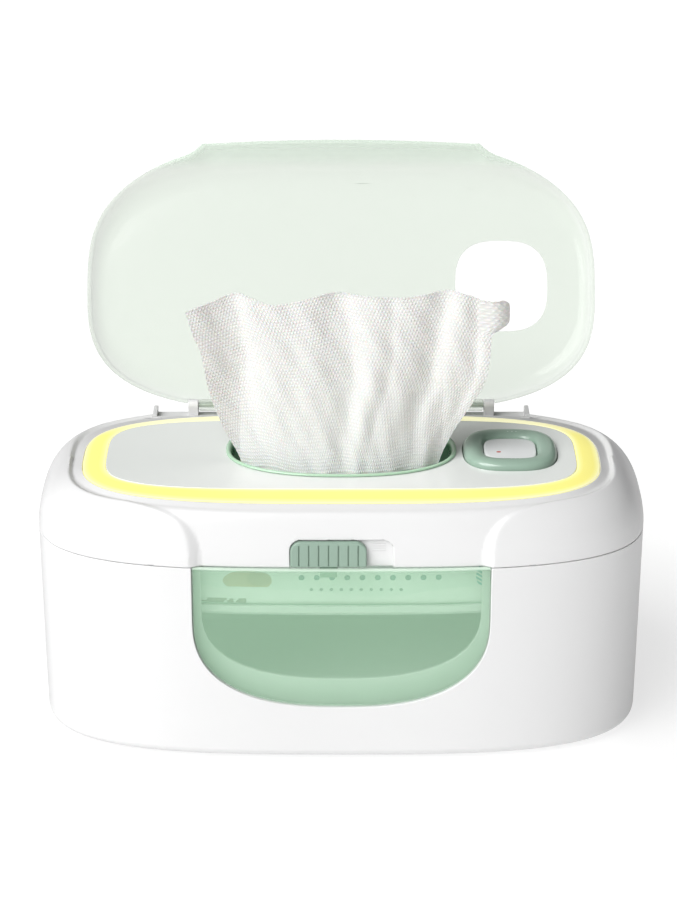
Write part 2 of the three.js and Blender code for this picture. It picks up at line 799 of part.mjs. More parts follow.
// A cylinder along y through the rear wall, measured inwards from the wall's face
function jackBarrel(radius, from, to, steps = discSteps) {
  const face = halfDepth - jackSetBack;
  const geometry = new THREE.CylinderGeometry(radius, radius, to - from, steps);
  return solid(geometry.translate(0, face - (from + to) / 2, jackHeight));
}

function powerInlet() {
  const body = jackBarrel(jackRadius, 0, jackLength);
  const bore = jackBarrel(jackBore, -overrun, jackBoreDepth);
  const pin = jackBarrel(jackPin, wall / 2, jackBoreDepth + wall / 2, smallSteps);
  return geometryOf(body.subtract(bore).add(pin));
}

function panelOval(grow, count = ovalSteps) {
  const exponent = panelExponent + (ringExponent - panelExponent) * Math.max(0, grow / ringWidth);
  return oval(panelHalfWidth + grow, panelHalfDepth + grow, exponent, 0, ringCentreY, count);
}

function panelRing(grow, z, count = ovalSteps) {
  return ring(panelOval(grow, count), z);
}

function lightRing() {
  const bottom = ringShelf + fitGap;
  const skirtBottom = bottom - ringFoot;
  const seat = panelHeight - panelThickness - fitGap;
  return loft([
    panelRing(0, panelHeight),
    panelRing(ringWidth / 2, (panelHeight + ringEdgeHeight) / 2 + fitGap),
    panelRing(ringWidth, ringEdgeHeight),
    panelRing(ringWidth, bottom),
    panelRing(ringWidth - ringSkirtInset, bottom),
    panelRing(ringWidth - ringSkirtInset, skirtBottom),
    panelRing(-ringSkirtInset, skirtBottom),
    panelRing(-ringSkirtInset, seat),
    panelRing(0, seat),
  ], true);
}

function rimOval(grow) {
  return oval(rimHalfWidth + grow, rimHalfDepth + grow, rimExponent, 0, rimCentreY, rimSteps);
}

function controlOval(half, exponent = controlExponent) {
  return oval(half, half, exponent, controlX, controlY, controlSteps);
}

function topPanel() {
  const low = panelHeight - panelThickness;
  const plate = prism(panelOval(-fitGap), low, panelHeight);
  const rimHole = prism(rimOval(fitGap - rimLip), low - overrun, panelHeight + overrun);
  const controlHole = prism(controlOval(controlHalf + fitGap), low - overrun, panelHeight + overrun);
  return geometryOf(cut(plate, [rimHole, controlHole]));
}

function dispensingRim() {
  const bottom = linerTop + fitGap;
  const lipBottom = panelHeight + fitGap;
  const top = lipBottom + rimLipHeight;
  return loft([
    ring(rimOval(-rimLip - rimTaper), bottom),
    ring(rimOval(-rimLip), lipBottom - panelThickness),
    ring(rimOval(-rimLip), lipBottom),
    ring(rimOval(0), lipBottom),
    ring(rimOval(-rimLip / 3), top),
    ring(rimOval(-rimLip), top),
    ring(rimOval(-rimLip - rimWall), lipBottom - rimWall),
    ring(rimOval(-rimLip - rimTaper - rimWall), bottom),
  ], true);
}

const controlBottom = panelHeight - panelThickness - fitGap - controlFlangeThickness;
const controlTop = panelHeight + controlRise;
const boardTop = boardHeight + boardThickness;
const displayTop = controlTop - displaySink;

function controlRing() {
  const inner = displayHalf + fitGap;
  const band = controlHalf - inner;
  const innerExponent = displayExponent;
  const crown = arc(4, -1, 1).map((a) => {
    const across = (1 + Math.sin(a)) / 2;
    const half = controlHalf - band * across;
    const rise = controlRise * Math.cos(a);
    const exponent = controlExponent + (innerExponent - controlExponent) * across;
    return ring(controlOval(half, exponent), panelHeight + fitGap + rise);
  });
  return loft([
    ring(controlOval(controlHalf + controlFlange), controlBottom),
    ring(controlOval(controlHalf + controlFlange), controlBottom + controlFlangeThickness),
    ring(controlOval(controlHalf), controlBottom + controlFlangeThickness),
    ...crown,
    ring(controlOval(inner, innerExponent), controlBottom),
  ], true);
}

function displayWindow() {
  const low = boardTop + fitGap;
  const edge = fitGap;
  return loft([
    ring(controlOval(displayHalf, displayExponent), low),
    ring(controlOval(displayHalf, displayExponent), displayTop - edge),
    ring(controlOval(displayHalf - edge, displayExponent), displayTop),
  ]);
}

function controlBoard() {
  return geometryOf(block(
    controlX - boardHalfWidth, controlX + boardHalfWidth,
    controlY - boardHalfDepth, controlY + boardHalfDepth, boardHeight, boardTop));
}

function pressSwitch(side) {
  const low = boardTop + fitGap;
  const top = controlBottom - controlTravel - fitGap;
  const y = controlY + side * switchOffset;
  const body = block(
    controlX - switchHalf, controlX + switchHalf, y - switchHalf, y + switchHalf, low, top - fitGap);
  return geometryOf(body.add(post(switchHalf / 2, controlX, y, low, top)));
}

function returnPad() {
  const low = boardTop + fitGap;
  const high = controlBottom - fitGap;
  const inner = displayHalf + fitGap;
  const waist = (low + high) / 2;
  return loft([
    ring(controlOval(inner + padWidth, displayExponent), low),
    ring(controlOval(inner + padWidth / 2, displayExponent), waist),
    ring(controlOval(inner + padWidth, displayExponent), high),
    ring(controlOval(inner, displayExponent), high),
    ring(controlOval(inner, displayExponent), low),
  ], true);
}

// The ring of lamps under the light ring
function ledBoard() {
  const top = ringShelf - ringFoot;
  const boardHigh = top - ledHeight;
  const low = boardHigh - ledBoardThickness;
  const outer = ledBoardWidth - ledBoardInset;
  const board = solid(loft([
    panelRing(outer, low, hiddenSteps),
    panelRing(outer, boardHigh, hiddenSteps),
    panelRing(-ledBoardInset, boardHigh, hiddenSteps),
    panelRing(-ledBoardInset, low, hiddenSteps),
  ], true));
  const track = panelOval(outer / 3, ledCount);
  const lamps = track.map((p) => block(
    p.x - ledHalf, p.x + ledHalf, p.y - ledHalf, p.y + ledHalf, low, top));
  return geometryOf(joined([board, ...lamps]));
}

function latchSlider() {
  const left = sliderCentreX - sliderWidth / 2;
  const right = sliderCentreX + sliderWidth / 2;
  const top = sliderBottom + sliderHeight;
  const plate = frontPrism(
    roundedTop(left, right, sliderBottom, top, sliderCorner), sliderFaceY, sliderFaceY + sliderThickness);
  const grooves = Array.from({ length: grooveCount }, (_, i) => {
    const x = sliderCentreX + (i - (grooveCount - 1) / 2) * grooveSpacing;
    return block(
      x - grooveWidth / 2, x + grooveWidth / 2, sliderFaceY - overrun, sliderFaceY + grooveDepth,
      sliderBottom - overrun, top - sliderCorner / 3);
  });
  const hookLeft = sliderCentreX - hookWidth / 2;
  const hookRight = sliderCentreX + hookWidth / 2;
  const stem = block(
    hookLeft, hookRight, sliderFaceY + grooveDepth * 2, hookBackY, stemLow, stemLow + stemHeight);
  const hookTip = seamHeight - hookDrop;
  const hook = block(hookLeft, hookRight, hookFrontY, hookBackY, hookTip, stemLow + stemHeight);
  const barb = block(hookLeft, hookRight, hookFrontY, hookBackY + hookBarb, hookTip, hookTip + barbHeight);
  return geometryOf(joined([cut(plate, grooves), stem, hook, barb]));
}

function latchKeeper() {
  const top = tubTop - tubFlange - fitGap;
  const left = sliderCentreX - hookWidth / 2 - fitGap;
  const right = sliderCentreX + hookWidth / 2 + fitGap;
  const front = hookBackY + fitGap;
  const back = -halfDepth + tubOffset + tubWall;
  const lipBottom = seamHeight - hookDrop + barbHeight + fitGap;
  const leaf = block(left, right, front, back, top - keeperThickness, top);
  const lip = block(left, right, front, front + keeperLip, lipBottom, top);
  return geometryOf(leaf.add(lip));
}

function hingePin(side) {
  const half = mainKnuckleLength / 2 + mainEarLength - fitGap;
  return geometryOf(barrel(
    pinRadius, side * mainHingeX - half, side * mainHingeX + half, mainHingeY, seamHeight));
}

function coverPin(side) {
  const half = coverKnuckleLength / 2 + coverEarLength - fitGap;
  return geometryOf(barrel(
    coverPinRadius, side * coverHingeX - half, side * coverHingeX + half, coverHingeY, coverHingeZ));
}

function lidLiner() {
  const plate = solid(loft([
    innerRing(linerOffset, linerHeight),
    innerRing(linerOffset, linerTop),
  ]));
  const stands = corners.map(([sx, sy]) => post(
    wall, controlX + sx * (boardHalfWidth - wall), controlY + sy * (boardHalfDepth - wall),
    linerTop - linerThickness / 2, boardHeight - fitGap));
  const throat = prism(throatOval(0, rimSteps), linerHeight - overrun, linerTop + overrun);
  const holes = corners.map(([sx, sy]) => post(
    screwRadius + fitGap, sx * screwX, sy * screwY, linerHeight - overrun, linerTop + overrun));
  const thermostatHole = post(
    thermostatRadius + fitGap, thermostatX, rimCentreY,
    linerHeight - overrun, linerTop + overrun, discSteps);
  const fuseHole = block(
    thermostatX - fuseLength / 2 - fitGap, thermostatX + fuseLength / 2 + fitGap,
    fuseY - fuseRadius - fitGap, fuseY + fuseRadius + fitGap, linerHeight - overrun, linerTop + overrun);
  const jackNotch = jackBarrel(jackRadius + fitGap, 0, jackLength + fitGap);
  const form = joined([plate, ...stands]);
  return geometryOf(cut(form, [throat, ...holes, thermostatHole, fuseHole, jackNotch]));
}

function sealCarrier() {
  const high = linerHeight - fitGap;
  const band = solid(loft([
    innerRing(carrierOffset, carrierBottom),
    innerRing(carrierOffset, high),
    innerRing(carrierInner, high),
    innerRing(carrierInner, carrierBottom),
  ], true));
  return geometryOf(band.subtract(jackBarrel(jackRadius + fitGap, 0, jackLength + fitGap)));
}

function throatOval(grow, count) {
  return oval(throatHalfWidth + grow, throatHalfDepth + grow, rimExponent, 0, rimCentreY, count);
}

function heaterSheet(inset, low, high) {
  const outline = oval(
    heaterHalfWidth - inset, heaterHalfDepth - inset, heaterExponent, 0, 0, hiddenSteps);
  const throat = prism(throatOval(wall + inset, hiddenSteps), low - overrun, high + overrun);
  return geometryOf(prism(outline, low, high).subtract(throat));
}

function thermostat() {
  const low = matTop + fitGap;
  const profile = [
    new THREE.Vector2(0, 0),
    new THREE.Vector2(thermostatRadius, 0),
    new THREE.Vector2(thermostatRadius, thermostatHeight * thermostatSkirtShare),
    new THREE.Vector2(thermostatRadius * thermostatCrownShare, thermostatHeight),
    new THREE.Vector2(0, thermostatHeight),
  ];
  const turned = new THREE.LatheGeometry(profile, discSteps).rotateX(Math.PI / 2);
  return turned.translate(thermostatX, rimCentreY, low);
}

function thermalFuse() {
  return geometryOf(barrel(
    fuseRadius, thermostatX - fuseLength / 2, thermostatX + fuseLength / 2,
    fuseY, matTop + fitGap + fuseRadius));
}

function lidSeal() {
  const low = tubTop + fitGap;
  const high = carrierBottom - fitGap;
  const outer = carrierOffset + fitGap / 2;
  const inner = carrierInner - fitGap / 2;
  return loft([
    innerRing(outer, low + sealCrown),
    innerRing(outer, high),
    innerRing(inner, high),
    innerRing(inner, low + sealCrown),
    innerRing((outer + inner) / 2, low),
  ], true);
}

function liftTray() {
  const top = trayHeight + trayThickness;
  const rimTop = top + trayRim;
  const shell = solid(loft([
    innerRing(trayOffset + trayRimWall, trayHeight),
    innerRing(trayOffset, top),
    innerRing(trayOffset, rimTop),
    innerRing(trayOffset + trayRimWall, rimTop),
    innerRing(trayOffset + trayRimWall * 2, top),
  ]));
  const cups = mirrorSides.map((side) => post(
    cupRadius, side * springX, 0, trayHeight - cupDepth, trayHeight + trayThickness / 2, discSteps));
  const cupBores = mirrorSides.map((side) => post(
    cupRadius - cupWall, side * springX, 0, trayHeight - cupDepth - overrun, trayHeight, discSteps));
  const ribCount = 5;
  const ribHalf = trayRimWall / 2;
  const ribs = Array.from({ length: ribCount }, (_, i) => {
    const x = (i - (ribCount - 1) / 2) * trayRibSpacing;
    const reach = halfDepth - trayOffset * 2;
    return block(
      x - ribHalf, x + ribHalf, -reach, reach, trayHeight - cupDepth / 2, trayHeight + trayThickness / 2);
  });
  const slotCount = 6;
  const slots = Array.from({ length: slotCount }, (_, i) => {
    const x = (i - (slotCount - 1) / 2) * trayRibSpacing;
    const reach = (halfDepth - trayOffset) / 2;
    const half = trayThickness;
    return block(x - half, x + half, -reach, reach, trayHeight - overrun, rimTop + overrun);
  });
  return geometryOf(cut(joined([shell, ...cups, ...ribs]), [...cupBores, ...slots]));
}

// An unbroken round coil with flat-cut ends, standing along z
function coil(radius, wire, turns, low, high) {
  const stepsPerTurn = 8;
  const sides = 5;
  const steps = stepsPerTurn * turns;
  const start = low + wire;
  const rise = high - low - wire * 2;
  const centres = Array.from({ length: steps + 1 }, (_, i) => {
    const angle = (turn * i) / stepsPerTurn;
    return new THREE.Vector3(radius * Math.cos(angle), radius * Math.sin(angle), start + (rise * i) / steps);
  });
  const rings = centres.map((centre, i) => {
    const angle = (turn * i) / stepsPerTurn;
    const outward = new THREE.Vector3(Math.cos(angle), Math.sin(angle), 0);
    const up = new THREE.Vector3(0, 0, 1);
    return Array.from({ length: sides }, (_, k) => {
      const around = (turn * k) / sides;
      const point = centre.clone().addScaledVector(outward, wire * Math.cos(around));
      return point.addScaledVector(up, wire * Math.sin(around));
    });
  });
  let least = Infinity;
  centres.forEach((a, i) => centres.slice(i + stepsPerTurn / 2).forEach((b) => {
    least = Math.min(least, a.distanceTo(b) - wire * 2);
  }));
  console.log('least gap between spring turns, mm:', least.toFixed(2));
  return loft(rings);
}

function traySpring(side) {
  const low = tubInnerFloor + fitGap;
  const high = trayHeight - fitGap;
  return coil(springRadius, springWire, springTurns, low, high).translate(side * springX, 0, 0);
}

function wipesPack() {
  return loft(packLevelShares.map((level, i) => {
    const share = packEdgeShares[i];
    const outline = oval(packHalfWidth * share, packHalfDepth * share, packExponent, 0, 0, hiddenSteps);
    return ring(outline, packBottom + packHeight * level);
  }));
}

// The wipe that stands up out of the rim: a fan of soft pleats, gathered at its neck
function wipeSheet() {
  const across = 38;
  const up = 9;
  const low = packBottom + packHeight + fitGap;
  const neck = panelHeight;
  const height = wipeTopHeight - low;
  const neckShare = (neck - low) / height;
  const front = [];
  const back = [];
  for (let j = 0; j <= up; j += 1) {
    const t = j / up;
    const open = Math.max(0, (t - neckShare) / (1 - neckShare));
    const spread = Math.sin((Math.PI / 2) * Math.min(1, open * wipeFlareShare));
    const half = wipeNeckHalfWidth + (wipeTopHalfWidth - wipeNeckHalfWidth) * spread;
    for (let i = 0; i <= across; i += 1) {
      const s = (2 * i) / across - 1;
      const wave = wipeFoldShares.reduce((sum, [neckPlace, topPlace, width, depth]) => {
        const away = (s - neckPlace - (topPlace - neckPlace) * open) / width;
        return sum + depth * Math.exp(-away * away);
      }, 0);
      const deep = wipeNeckFoldShare + (1 - wipeNeckFoldShare) * open;
      const x = s * half;
      const middleY = wipeY + (wipeTopY - wipeY) * open + wipeBow * s * s;
      const y = middleY + wipeFold * deep * (wave - 1 / 2);
      const droop = wipeFold * open * (wipeDroopShare * wave + wipeCornerDroopShare * s * s);
      const z = low + height * t - droop;
      front.push(new THREE.Vector3(x, y - wipeThickness / 2, z));
      back.push(new THREE.Vector3(x, y + wipeThickness / 2, z));
    }
  }
  const row = across + 1;
  const size = front.length;
  const index = [];
  const quad = (a, b, c, d) => index.push(a, b, c, a, c, d);
  for (let j = 0; j < up; j += 1) {
    for (let i = 0; i < across; i += 1) {
      const a = j * row + i;
      quad(a, a + 1, a + row + 1, a + row);
      quad(size + a, size + a + row, size + a + row + 1, size + a + 1);
    }
    quad(j * row, (j + 1) * row, size + (j + 1) * row, size + j * row);
    const e = j * row + across;
    quad(e, size + e, size + e + row, e + row);
  }
  for (let i = 0; i < across; i += 1) {
    quad(i, size + i, size + i + 1, i + 1);
    const e = up * row + i;
    quad(e, e + 1, size + e + 1, size + e);
  }
  return closedGeometry([...front, ...back].flatMap((p) => [p.x, p.y, p.z]), index);
}

// Dust cover: plan outline with its front tongue, then a crowned shell over it
function coverPlan() {
  const frontSteps = 12;
  const flankSteps = 14;
  const rearSteps = 18;
  const reachAt = (u) => {
    const share = Math.min(1, Math.abs(u) / coverHalfWidth);
    const depth = Math.pow(1 - Math.pow(share, coverFrontExponent), 1 / coverFrontExponent);
    return coverMiddleReach + (coverFrontReach - coverMiddleReach) * depth;
  };
  const tongueAt = (u) => {
    const beyond = Math.max(0, Math.abs(u) - tongueHalfWidth) / tongueFillet;
    const along = Math.min(1, Math.abs(u) / tongueHalfWidth);
    const edge = coverFrontReach + tongueStep - reachAt(tongueHalfWidth) - tongueBow;
    const middle = tongueBow * (1 - along * along);
    const lift = coverFrontReach - tongueBow + middle - reachAt(Math.min(Math.abs(u), tongueHalfWidth));
    if (beyond >= 1) return 0;
    return beyond > 0 ? edge * tongueTailShare * Math.pow(1 - beyond, tongueTailExponent) : lift;
  };
  const front = Array.from({ length: frontSteps + 1 }, (_, i) => {
    const u = tongueHalfWidth * ((2 * i) / frontSteps - 1);
    return [u, reachAt(u) + tongueAt(u)];
  });
  const flank = Array.from({ length: flankSteps }, (_, i) => {
    const share = (i + 1) / flankSteps;
    const angle = Math.acos(tongueHalfWidth / coverHalfWidth) * (1 - share);
    const u = coverHalfWidth * Math.cos(angle);
    return [u, reachAt(u) + tongueAt(u)];
  });
  const rear = Array.from({ length: rearSteps - 1 }, (_, i) => {
    const angle = (Math.PI * (i + 1)) / rearSteps;
    const c = Math.cos(angle);
    const s = Math.sin(angle);
    const size = Math.pow(
      Math.pow(Math.abs(c), coverRearExponent) + Math.pow(s, coverRearExponent), -1 / coverRearExponent);
    return [coverHalfWidth * c * size, coverMiddleReach - (coverMiddleReach + coverRearReach) * s * size];
  });
  const left = flank.map(([u, w]) => [-u, w]).reverse();
  return [...front, ...flank, ...rear, ...left];
}

// A ring of the cover: 0 at the rim, 1 at the edge of its flat top, drawn in by an inset
function coverRing(plan, share, inset, rise) {
  const topMiddle = (coverTopFront + coverTopRear) / 2;
  const topHalf = (coverTopFront - coverTopRear) / 2;
  const rimMiddle = coverMiddleReach;
  return plan.map(([u, w]) => {
    const across = u / coverHalfWidth;
    const reach = w > rimMiddle ? coverFrontReach - rimMiddle : rimMiddle + coverRearReach;
    const along = (w - rimMiddle) / reach;
    const size = Math.pow(
      Math.pow(Math.abs(across), coverTopExponent) + Math.pow(Math.abs(along), coverTopExponent),
      -1 / coverTopExponent) || 1;
    const topU = coverTopHalfWidth * across * size;
    const topW = topMiddle + topHalf * along * size;
    const x = u + (topU - u) * share;
    const y = w + (topW - w) * share;
    const length = Math.hypot(x, y - topMiddle);
    const fall = Math.max(0, w - coverDropStart) / (coverFrontReach - coverDropStart);
    const rim = -coverDrop * fall * fall * (1 - rise / coverRise);
    return new THREE.Vector3(
      x * (1 - inset / length), coverHingeY - (topMiddle + (y - topMiddle) * (1 - inset / length)),
      coverHingeZ + rim + rise);
  });
}

function dustCover() {
  const plan = coverPlan();
  const crown = arc(4);
  const outerRings = crown.map((a) => coverRing(plan, 1 - Math.cos(a), 0, coverRise * Math.sin(a)));
  const innerRise = coverRise - coverWall;
  const innerRings = arc(3).map((a) => coverRing(
    plan, 1 - Math.cos(a), coverWall, innerRise * Math.sin(a))).reverse();
  const lowEdge = coverRing(plan, 0, coverWall, 0);
  const shell = solid(loft([...outerRings, ...innerRings.slice(0, -1), lowEdge], true));
  const lid = solid(loft([
    coverRing(plan, 1, coverWall / 2, innerRise), coverRing(plan, 1, coverWall / 2, coverRise),
  ]));
  const knuckles = mirrorSides.map((side) => {
    const left = side * coverHingeX - coverKnuckleLength / 2;
    const right = side * coverHingeX + coverKnuckleLength / 2;
    const arm = block(
      left, right, coverHingeY, coverHingeY + coverRearReach - coverWall / 2,
      coverHingeZ - coverKnuckleRadius, coverHingeZ + coverRise / 2);
    return barrel(coverKnuckleRadius, left, right, coverHingeY, coverHingeZ).add(arm);
  });
  const earRoom = mirrorSides.flatMap((side) => mirrorSides.map((end) => {
    const middle = side * coverHingeX + (end * (coverKnuckleLength + coverEarLength)) / 2 + end * fitGap;
    const half = coverEarLength / 2 + fitGap;
    return barrel(
      coverKnuckleRadius + coverRearReach / 2, middle - half, middle + half, coverHingeY, coverHingeZ);
  }));
  const bores = mirrorSides.map((side) => coverPinSpace(side, coverPinRadius + fitGap));
  const cutHalf = controlHalf + cutoutClearance;
  const cutoutOutline = controlOval(cutHalf, cutoutExponent);
  const cutout = prism(cutoutOutline, coverHingeZ - overrun, coverHingeZ + coverRise + overrun);
  const opened = cut(joined([shell, lid]), [cutout]);
  return geometryOf(cut(joined([opened, ...knuckles]), [...earRoom, ...bores]));
}

// Finishes
const finishes = {
  white: { color: 0xf6f6f5, roughness: 0.35, metalness: 0 },
  panel: { color: 0xe3e6e2, roughness: 0.2, metalness: 0 },
  glow: { color: 0xfdf98a, roughness: 0.4, metalness: 0 },
  mint: { color: 0xb4e6be, roughness: 0.1, metalness: 0 },
  coverMint: { color: 0xe3f4ea, roughness: 0.08, metalness: 0 },
  rimGreen: { color: 0x5f9c78, roughness: 0.25, metalness: 0 },
  sage: { color: 0x86ad97, roughness: 0.4, metalness: 0 },
  steel: { color: 0xb9bcbf, roughness: 0.35, metalness: 1 },
  aluminium: { color: 0xd2d4d6, roughness: 0.45, metalness: 1 },
  rubber: { color: 0x8d9290, roughness: 0.85, metalness: 0 },
  silicone: { color: 0xdfe6e2, roughness: 0.7, metalness: 0 },
  board: { color: 0x2f7a4c, roughness: 0.5, metalness: 0 },
  black: { color: 0x232526, roughness: 0.5, metalness: 0 },
  amber: { color: 0xb9793a, roughness: 0.6, metalness: 0 },
  film: { color: 0xeaf1ea, roughness: 0.3, metalness: 0 },
  cloth: { color: 0xf7f6f4, roughness: 0.95, metalness: 0 },
};

function part(name, geometry, finish) {
  const mesh = new THREE.Mesh(geometry, new THREE.MeshStandardMaterial(finishes[finish]));
  mesh.name = name;
  return mesh;
}

function placed(mesh, x, y, z) {
  mesh.position.set(x, y, z);
  return mesh;
}

const sideNames = { '-1': 'left', 1: 'right' };
const cornerNames = ['front_left', 'front_right', 'rear_right', 'rear_left'];

const base = new THREE.Group();
base.add(
  part('lower_housing', lowerHousing(), 'white'),
  part('window_pane', windowPane(), 'mint'),
  part('inner_tub', innerTub(), 'white'),
  part('base_plate', basePlate(), 'white'),
  part('latch_keeper', latchKeeper(), 'steel'),
);
corners.forEach(([sx, sy], i) => {
  base.add(placed(part(`foot_${cornerNames[i]}`, foot(), 'rubber'), sx * footX, sy * footY, 0));
  const head = standHeight + fitGap / 2;
  base.add(placed(part(`base_screw_${cornerNames[i]}`, screw(), 'steel'), sx * screwX, sy * screwY, head));
});
mirrorSides.forEach((side) => {
  base.add(part(`tray_spring_${sideNames[side]}`, traySpring(side), 'steel'));
  base.add(part(`lid_hinge_pin_${sideNames[side]}`, hingePin(side), 'steel'));
});

const tray = new THREE.Group();
tray.add(part('lift_tray', liftTray(), 'white'), part('wipes_pack', wipesPack(), 'film'));

const lid = new THREE.Group();
lid.add(
  part('upper_housing', upperHousing(), 'white'),
  part('light_ring', lightRing(), 'glow'),
  part('top_panel', topPanel(), 'panel'),
  part('dispensing_rim', dispensingRim(), 'rimGreen'),
  part('led_board', ledBoard(), 'board'),
  part('control_board', controlBoard(), 'board'),
  part('display_window', displayWindow(), 'panel'),
  part('switch_front', pressSwitch(-1), 'black'),
  part('switch_rear', pressSwitch(1), 'black'),
  part('return_pad', returnPad(), 'silicone'),
  part('lid_liner', lidLiner(), 'white'),
  part('seal_carrier', sealCarrier(), 'white'),
  part('heater_mat', heaterSheet(matInset, matBottom, matTop), 'amber'),
  part('heater_plate', heaterSheet(0, heaterBottom, heaterTop), 'aluminium'),
  part('thermostat', thermostat(), 'black'),
  part('thermal_fuse', thermalFuse(), 'silicone'),
  part('lid_seal', lidSeal(), 'silicone'),
  part('power_inlet', powerInlet(), 'black'),
  part('wipe_sheet', wipeSheet(), 'cloth'),
);
corners.forEach(([sx, sy], i) => {
  const head = linerHeight - screwHeadHeight;
  lid.add(placed(part(`liner_screw_${cornerNames[i]}`, screw(), 'steel'), sx * screwX, sy * screwY, head));
});
mirrorSides.forEach((side) => {
  lid.add(part(`cover_hinge_pin_${sideNames[side]}`, coverPin(side), 'steel'));
});

const latch = new THREE.Group();
latch.add(part('latch_slider', latchSlider(), 'sage'));

const control = new THREE.Group();
control.add(part('control_ring', controlRing(), 'sage'));

// The cover is drawn shut about its hinge, then swung open with its group
const cover = new THREE.Group();
cover.position.set(0, coverHingeY, coverHingeZ);
cover.rotation.x = -THREE.MathUtils.degToRad(coverOpenDegrees);
cover.add(placed(part('dust_cover', dustCover(), 'coverMint'), 0, -coverHingeY, -coverHingeZ));

const warmer = new THREE.Group();
warmer.add(base, tray, lid, latch, control, cover);

export default warmer;
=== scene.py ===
"""Baby wipe warmer, dressed on its packed frame. Metres, +Z up, front towards -Y."""

import json
import math
from collections import namedtuple
from contextlib import contextmanager
from functools import partialmethod

import bmesh
import bpy
from mathutils import Matrix, Vector
from mathutils.bvhtree import BVHTree
from mathutils.kdtree import KDTree

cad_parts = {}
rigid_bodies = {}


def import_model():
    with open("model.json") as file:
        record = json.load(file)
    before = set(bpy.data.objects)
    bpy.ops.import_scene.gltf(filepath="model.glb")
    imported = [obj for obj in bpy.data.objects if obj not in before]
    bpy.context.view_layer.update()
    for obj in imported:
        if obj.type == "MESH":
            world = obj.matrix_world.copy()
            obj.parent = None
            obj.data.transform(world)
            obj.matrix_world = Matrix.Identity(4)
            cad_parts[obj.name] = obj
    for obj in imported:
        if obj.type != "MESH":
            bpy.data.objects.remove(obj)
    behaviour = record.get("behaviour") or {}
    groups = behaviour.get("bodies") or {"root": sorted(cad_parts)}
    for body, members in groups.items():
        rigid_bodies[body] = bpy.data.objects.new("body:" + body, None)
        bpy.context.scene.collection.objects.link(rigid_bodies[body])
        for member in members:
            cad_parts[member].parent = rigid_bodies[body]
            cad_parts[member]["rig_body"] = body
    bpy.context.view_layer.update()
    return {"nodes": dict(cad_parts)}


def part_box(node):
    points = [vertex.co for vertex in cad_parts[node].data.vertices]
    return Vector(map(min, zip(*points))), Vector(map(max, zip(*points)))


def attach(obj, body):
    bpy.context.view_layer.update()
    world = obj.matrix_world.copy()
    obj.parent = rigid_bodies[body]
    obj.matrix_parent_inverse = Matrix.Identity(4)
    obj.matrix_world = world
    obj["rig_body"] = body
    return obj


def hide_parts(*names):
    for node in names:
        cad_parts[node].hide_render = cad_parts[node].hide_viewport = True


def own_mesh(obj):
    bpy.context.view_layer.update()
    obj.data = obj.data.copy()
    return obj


bl_info = {
    "name": "Baby wipe warmer",
    "version": (1, 0, 0),
    "blender": (4, 5, 0),
    "location": "View3D > Sidebar > Wipe warmer",
    "description": "Builds a wipe warmer with a glowing ring, a clear cover and a viewing window",
    "category": "Object",
}

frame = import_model()
MM = 0.001


# Sizes and colours


def length(name, default, text):
    """A size, given in millimetres."""
    return bpy.props.FloatProperty(
        name=name, description=text, default=default * MM, unit="LENGTH", subtype="DISTANCE", precision=5)


def share(name, default, text):
    """A plain number, such as an exponent."""
    return bpy.props.FloatProperty(name=name, description=text, default=default, soft_min=0)


def colour(name, default, text):
    return bpy.props.FloatVectorProperty(
        name=name, description=text, default=default, subtype="COLOR", min=0, max=1)


class WarmerBody(bpy.types.PropertyGroup):
    """Outer sizes of the two housings."""

    width: length("Width", 260, "Across the body at its widest")
    depth: length("Depth", 124, "Front to back at its deepest")
    squareness: share("Squareness", 3.2, "Exponent of the body's oval")
    stand: length("Stand", 1.2, "Gap under the body, taken up by the feet")
    seam: length("Seam height", 90.6, "Where the lid meets the lower housing")
    seam_gap: length("Seam gap", 0.36, "Width of the seam")
    wide: length("Widest height", 91.5, "Where the shoulder starts to curve in")
    crest: length("Crest height", 117, "Top of the shoulder")
    shoulder: length("Shoulder reach", 13, "How far the shoulder draws in at front and back")
    shoulder_side: length("Side shoulder reach", 20, "How far the shoulder draws in at the sides")
    crest_squareness: share("Crest squareness", 3.0, "Exponent of the oval at the crest")
    lean: length("Draft", 0.9, "How much narrower the foot is than the seam")
    bottom_round: length("Bottom round", 4.5, "Radius of the bottom edge")
    wall: length("Wall", 2.4, "Thickness of the housings")


class WarmerSeat(bpy.types.PropertyGroup):
    """The recess that the dust cover lies in, with its front apron."""

    half_width: length("Half width", 116.1, "Half of the recess across")
    half_depth: length("Half depth", 52, "Half of the recess front to back")
    squareness: share("Squareness", 3.45, "Exponent of the recess")
    sink: length("Sink", 2.4, "Depth of the apron below the housing's face")
    step_half: length("Step half width", 0.95, "Half of the soft step between them")
    deck: length("Deck height", 114, "Height of the recess at its fold")
    fold: length("Fold reach", 6, "Radius where the apron turns into the deck")
    apron_half: length("Apron half width", 61.6, "Half of the apron at the seam")
    flare: length("Apron flare", 10.5, "How deep the curved flank reaches")
    flare_reach: length("Flare reach", 28, "How far the curved flank runs sideways")


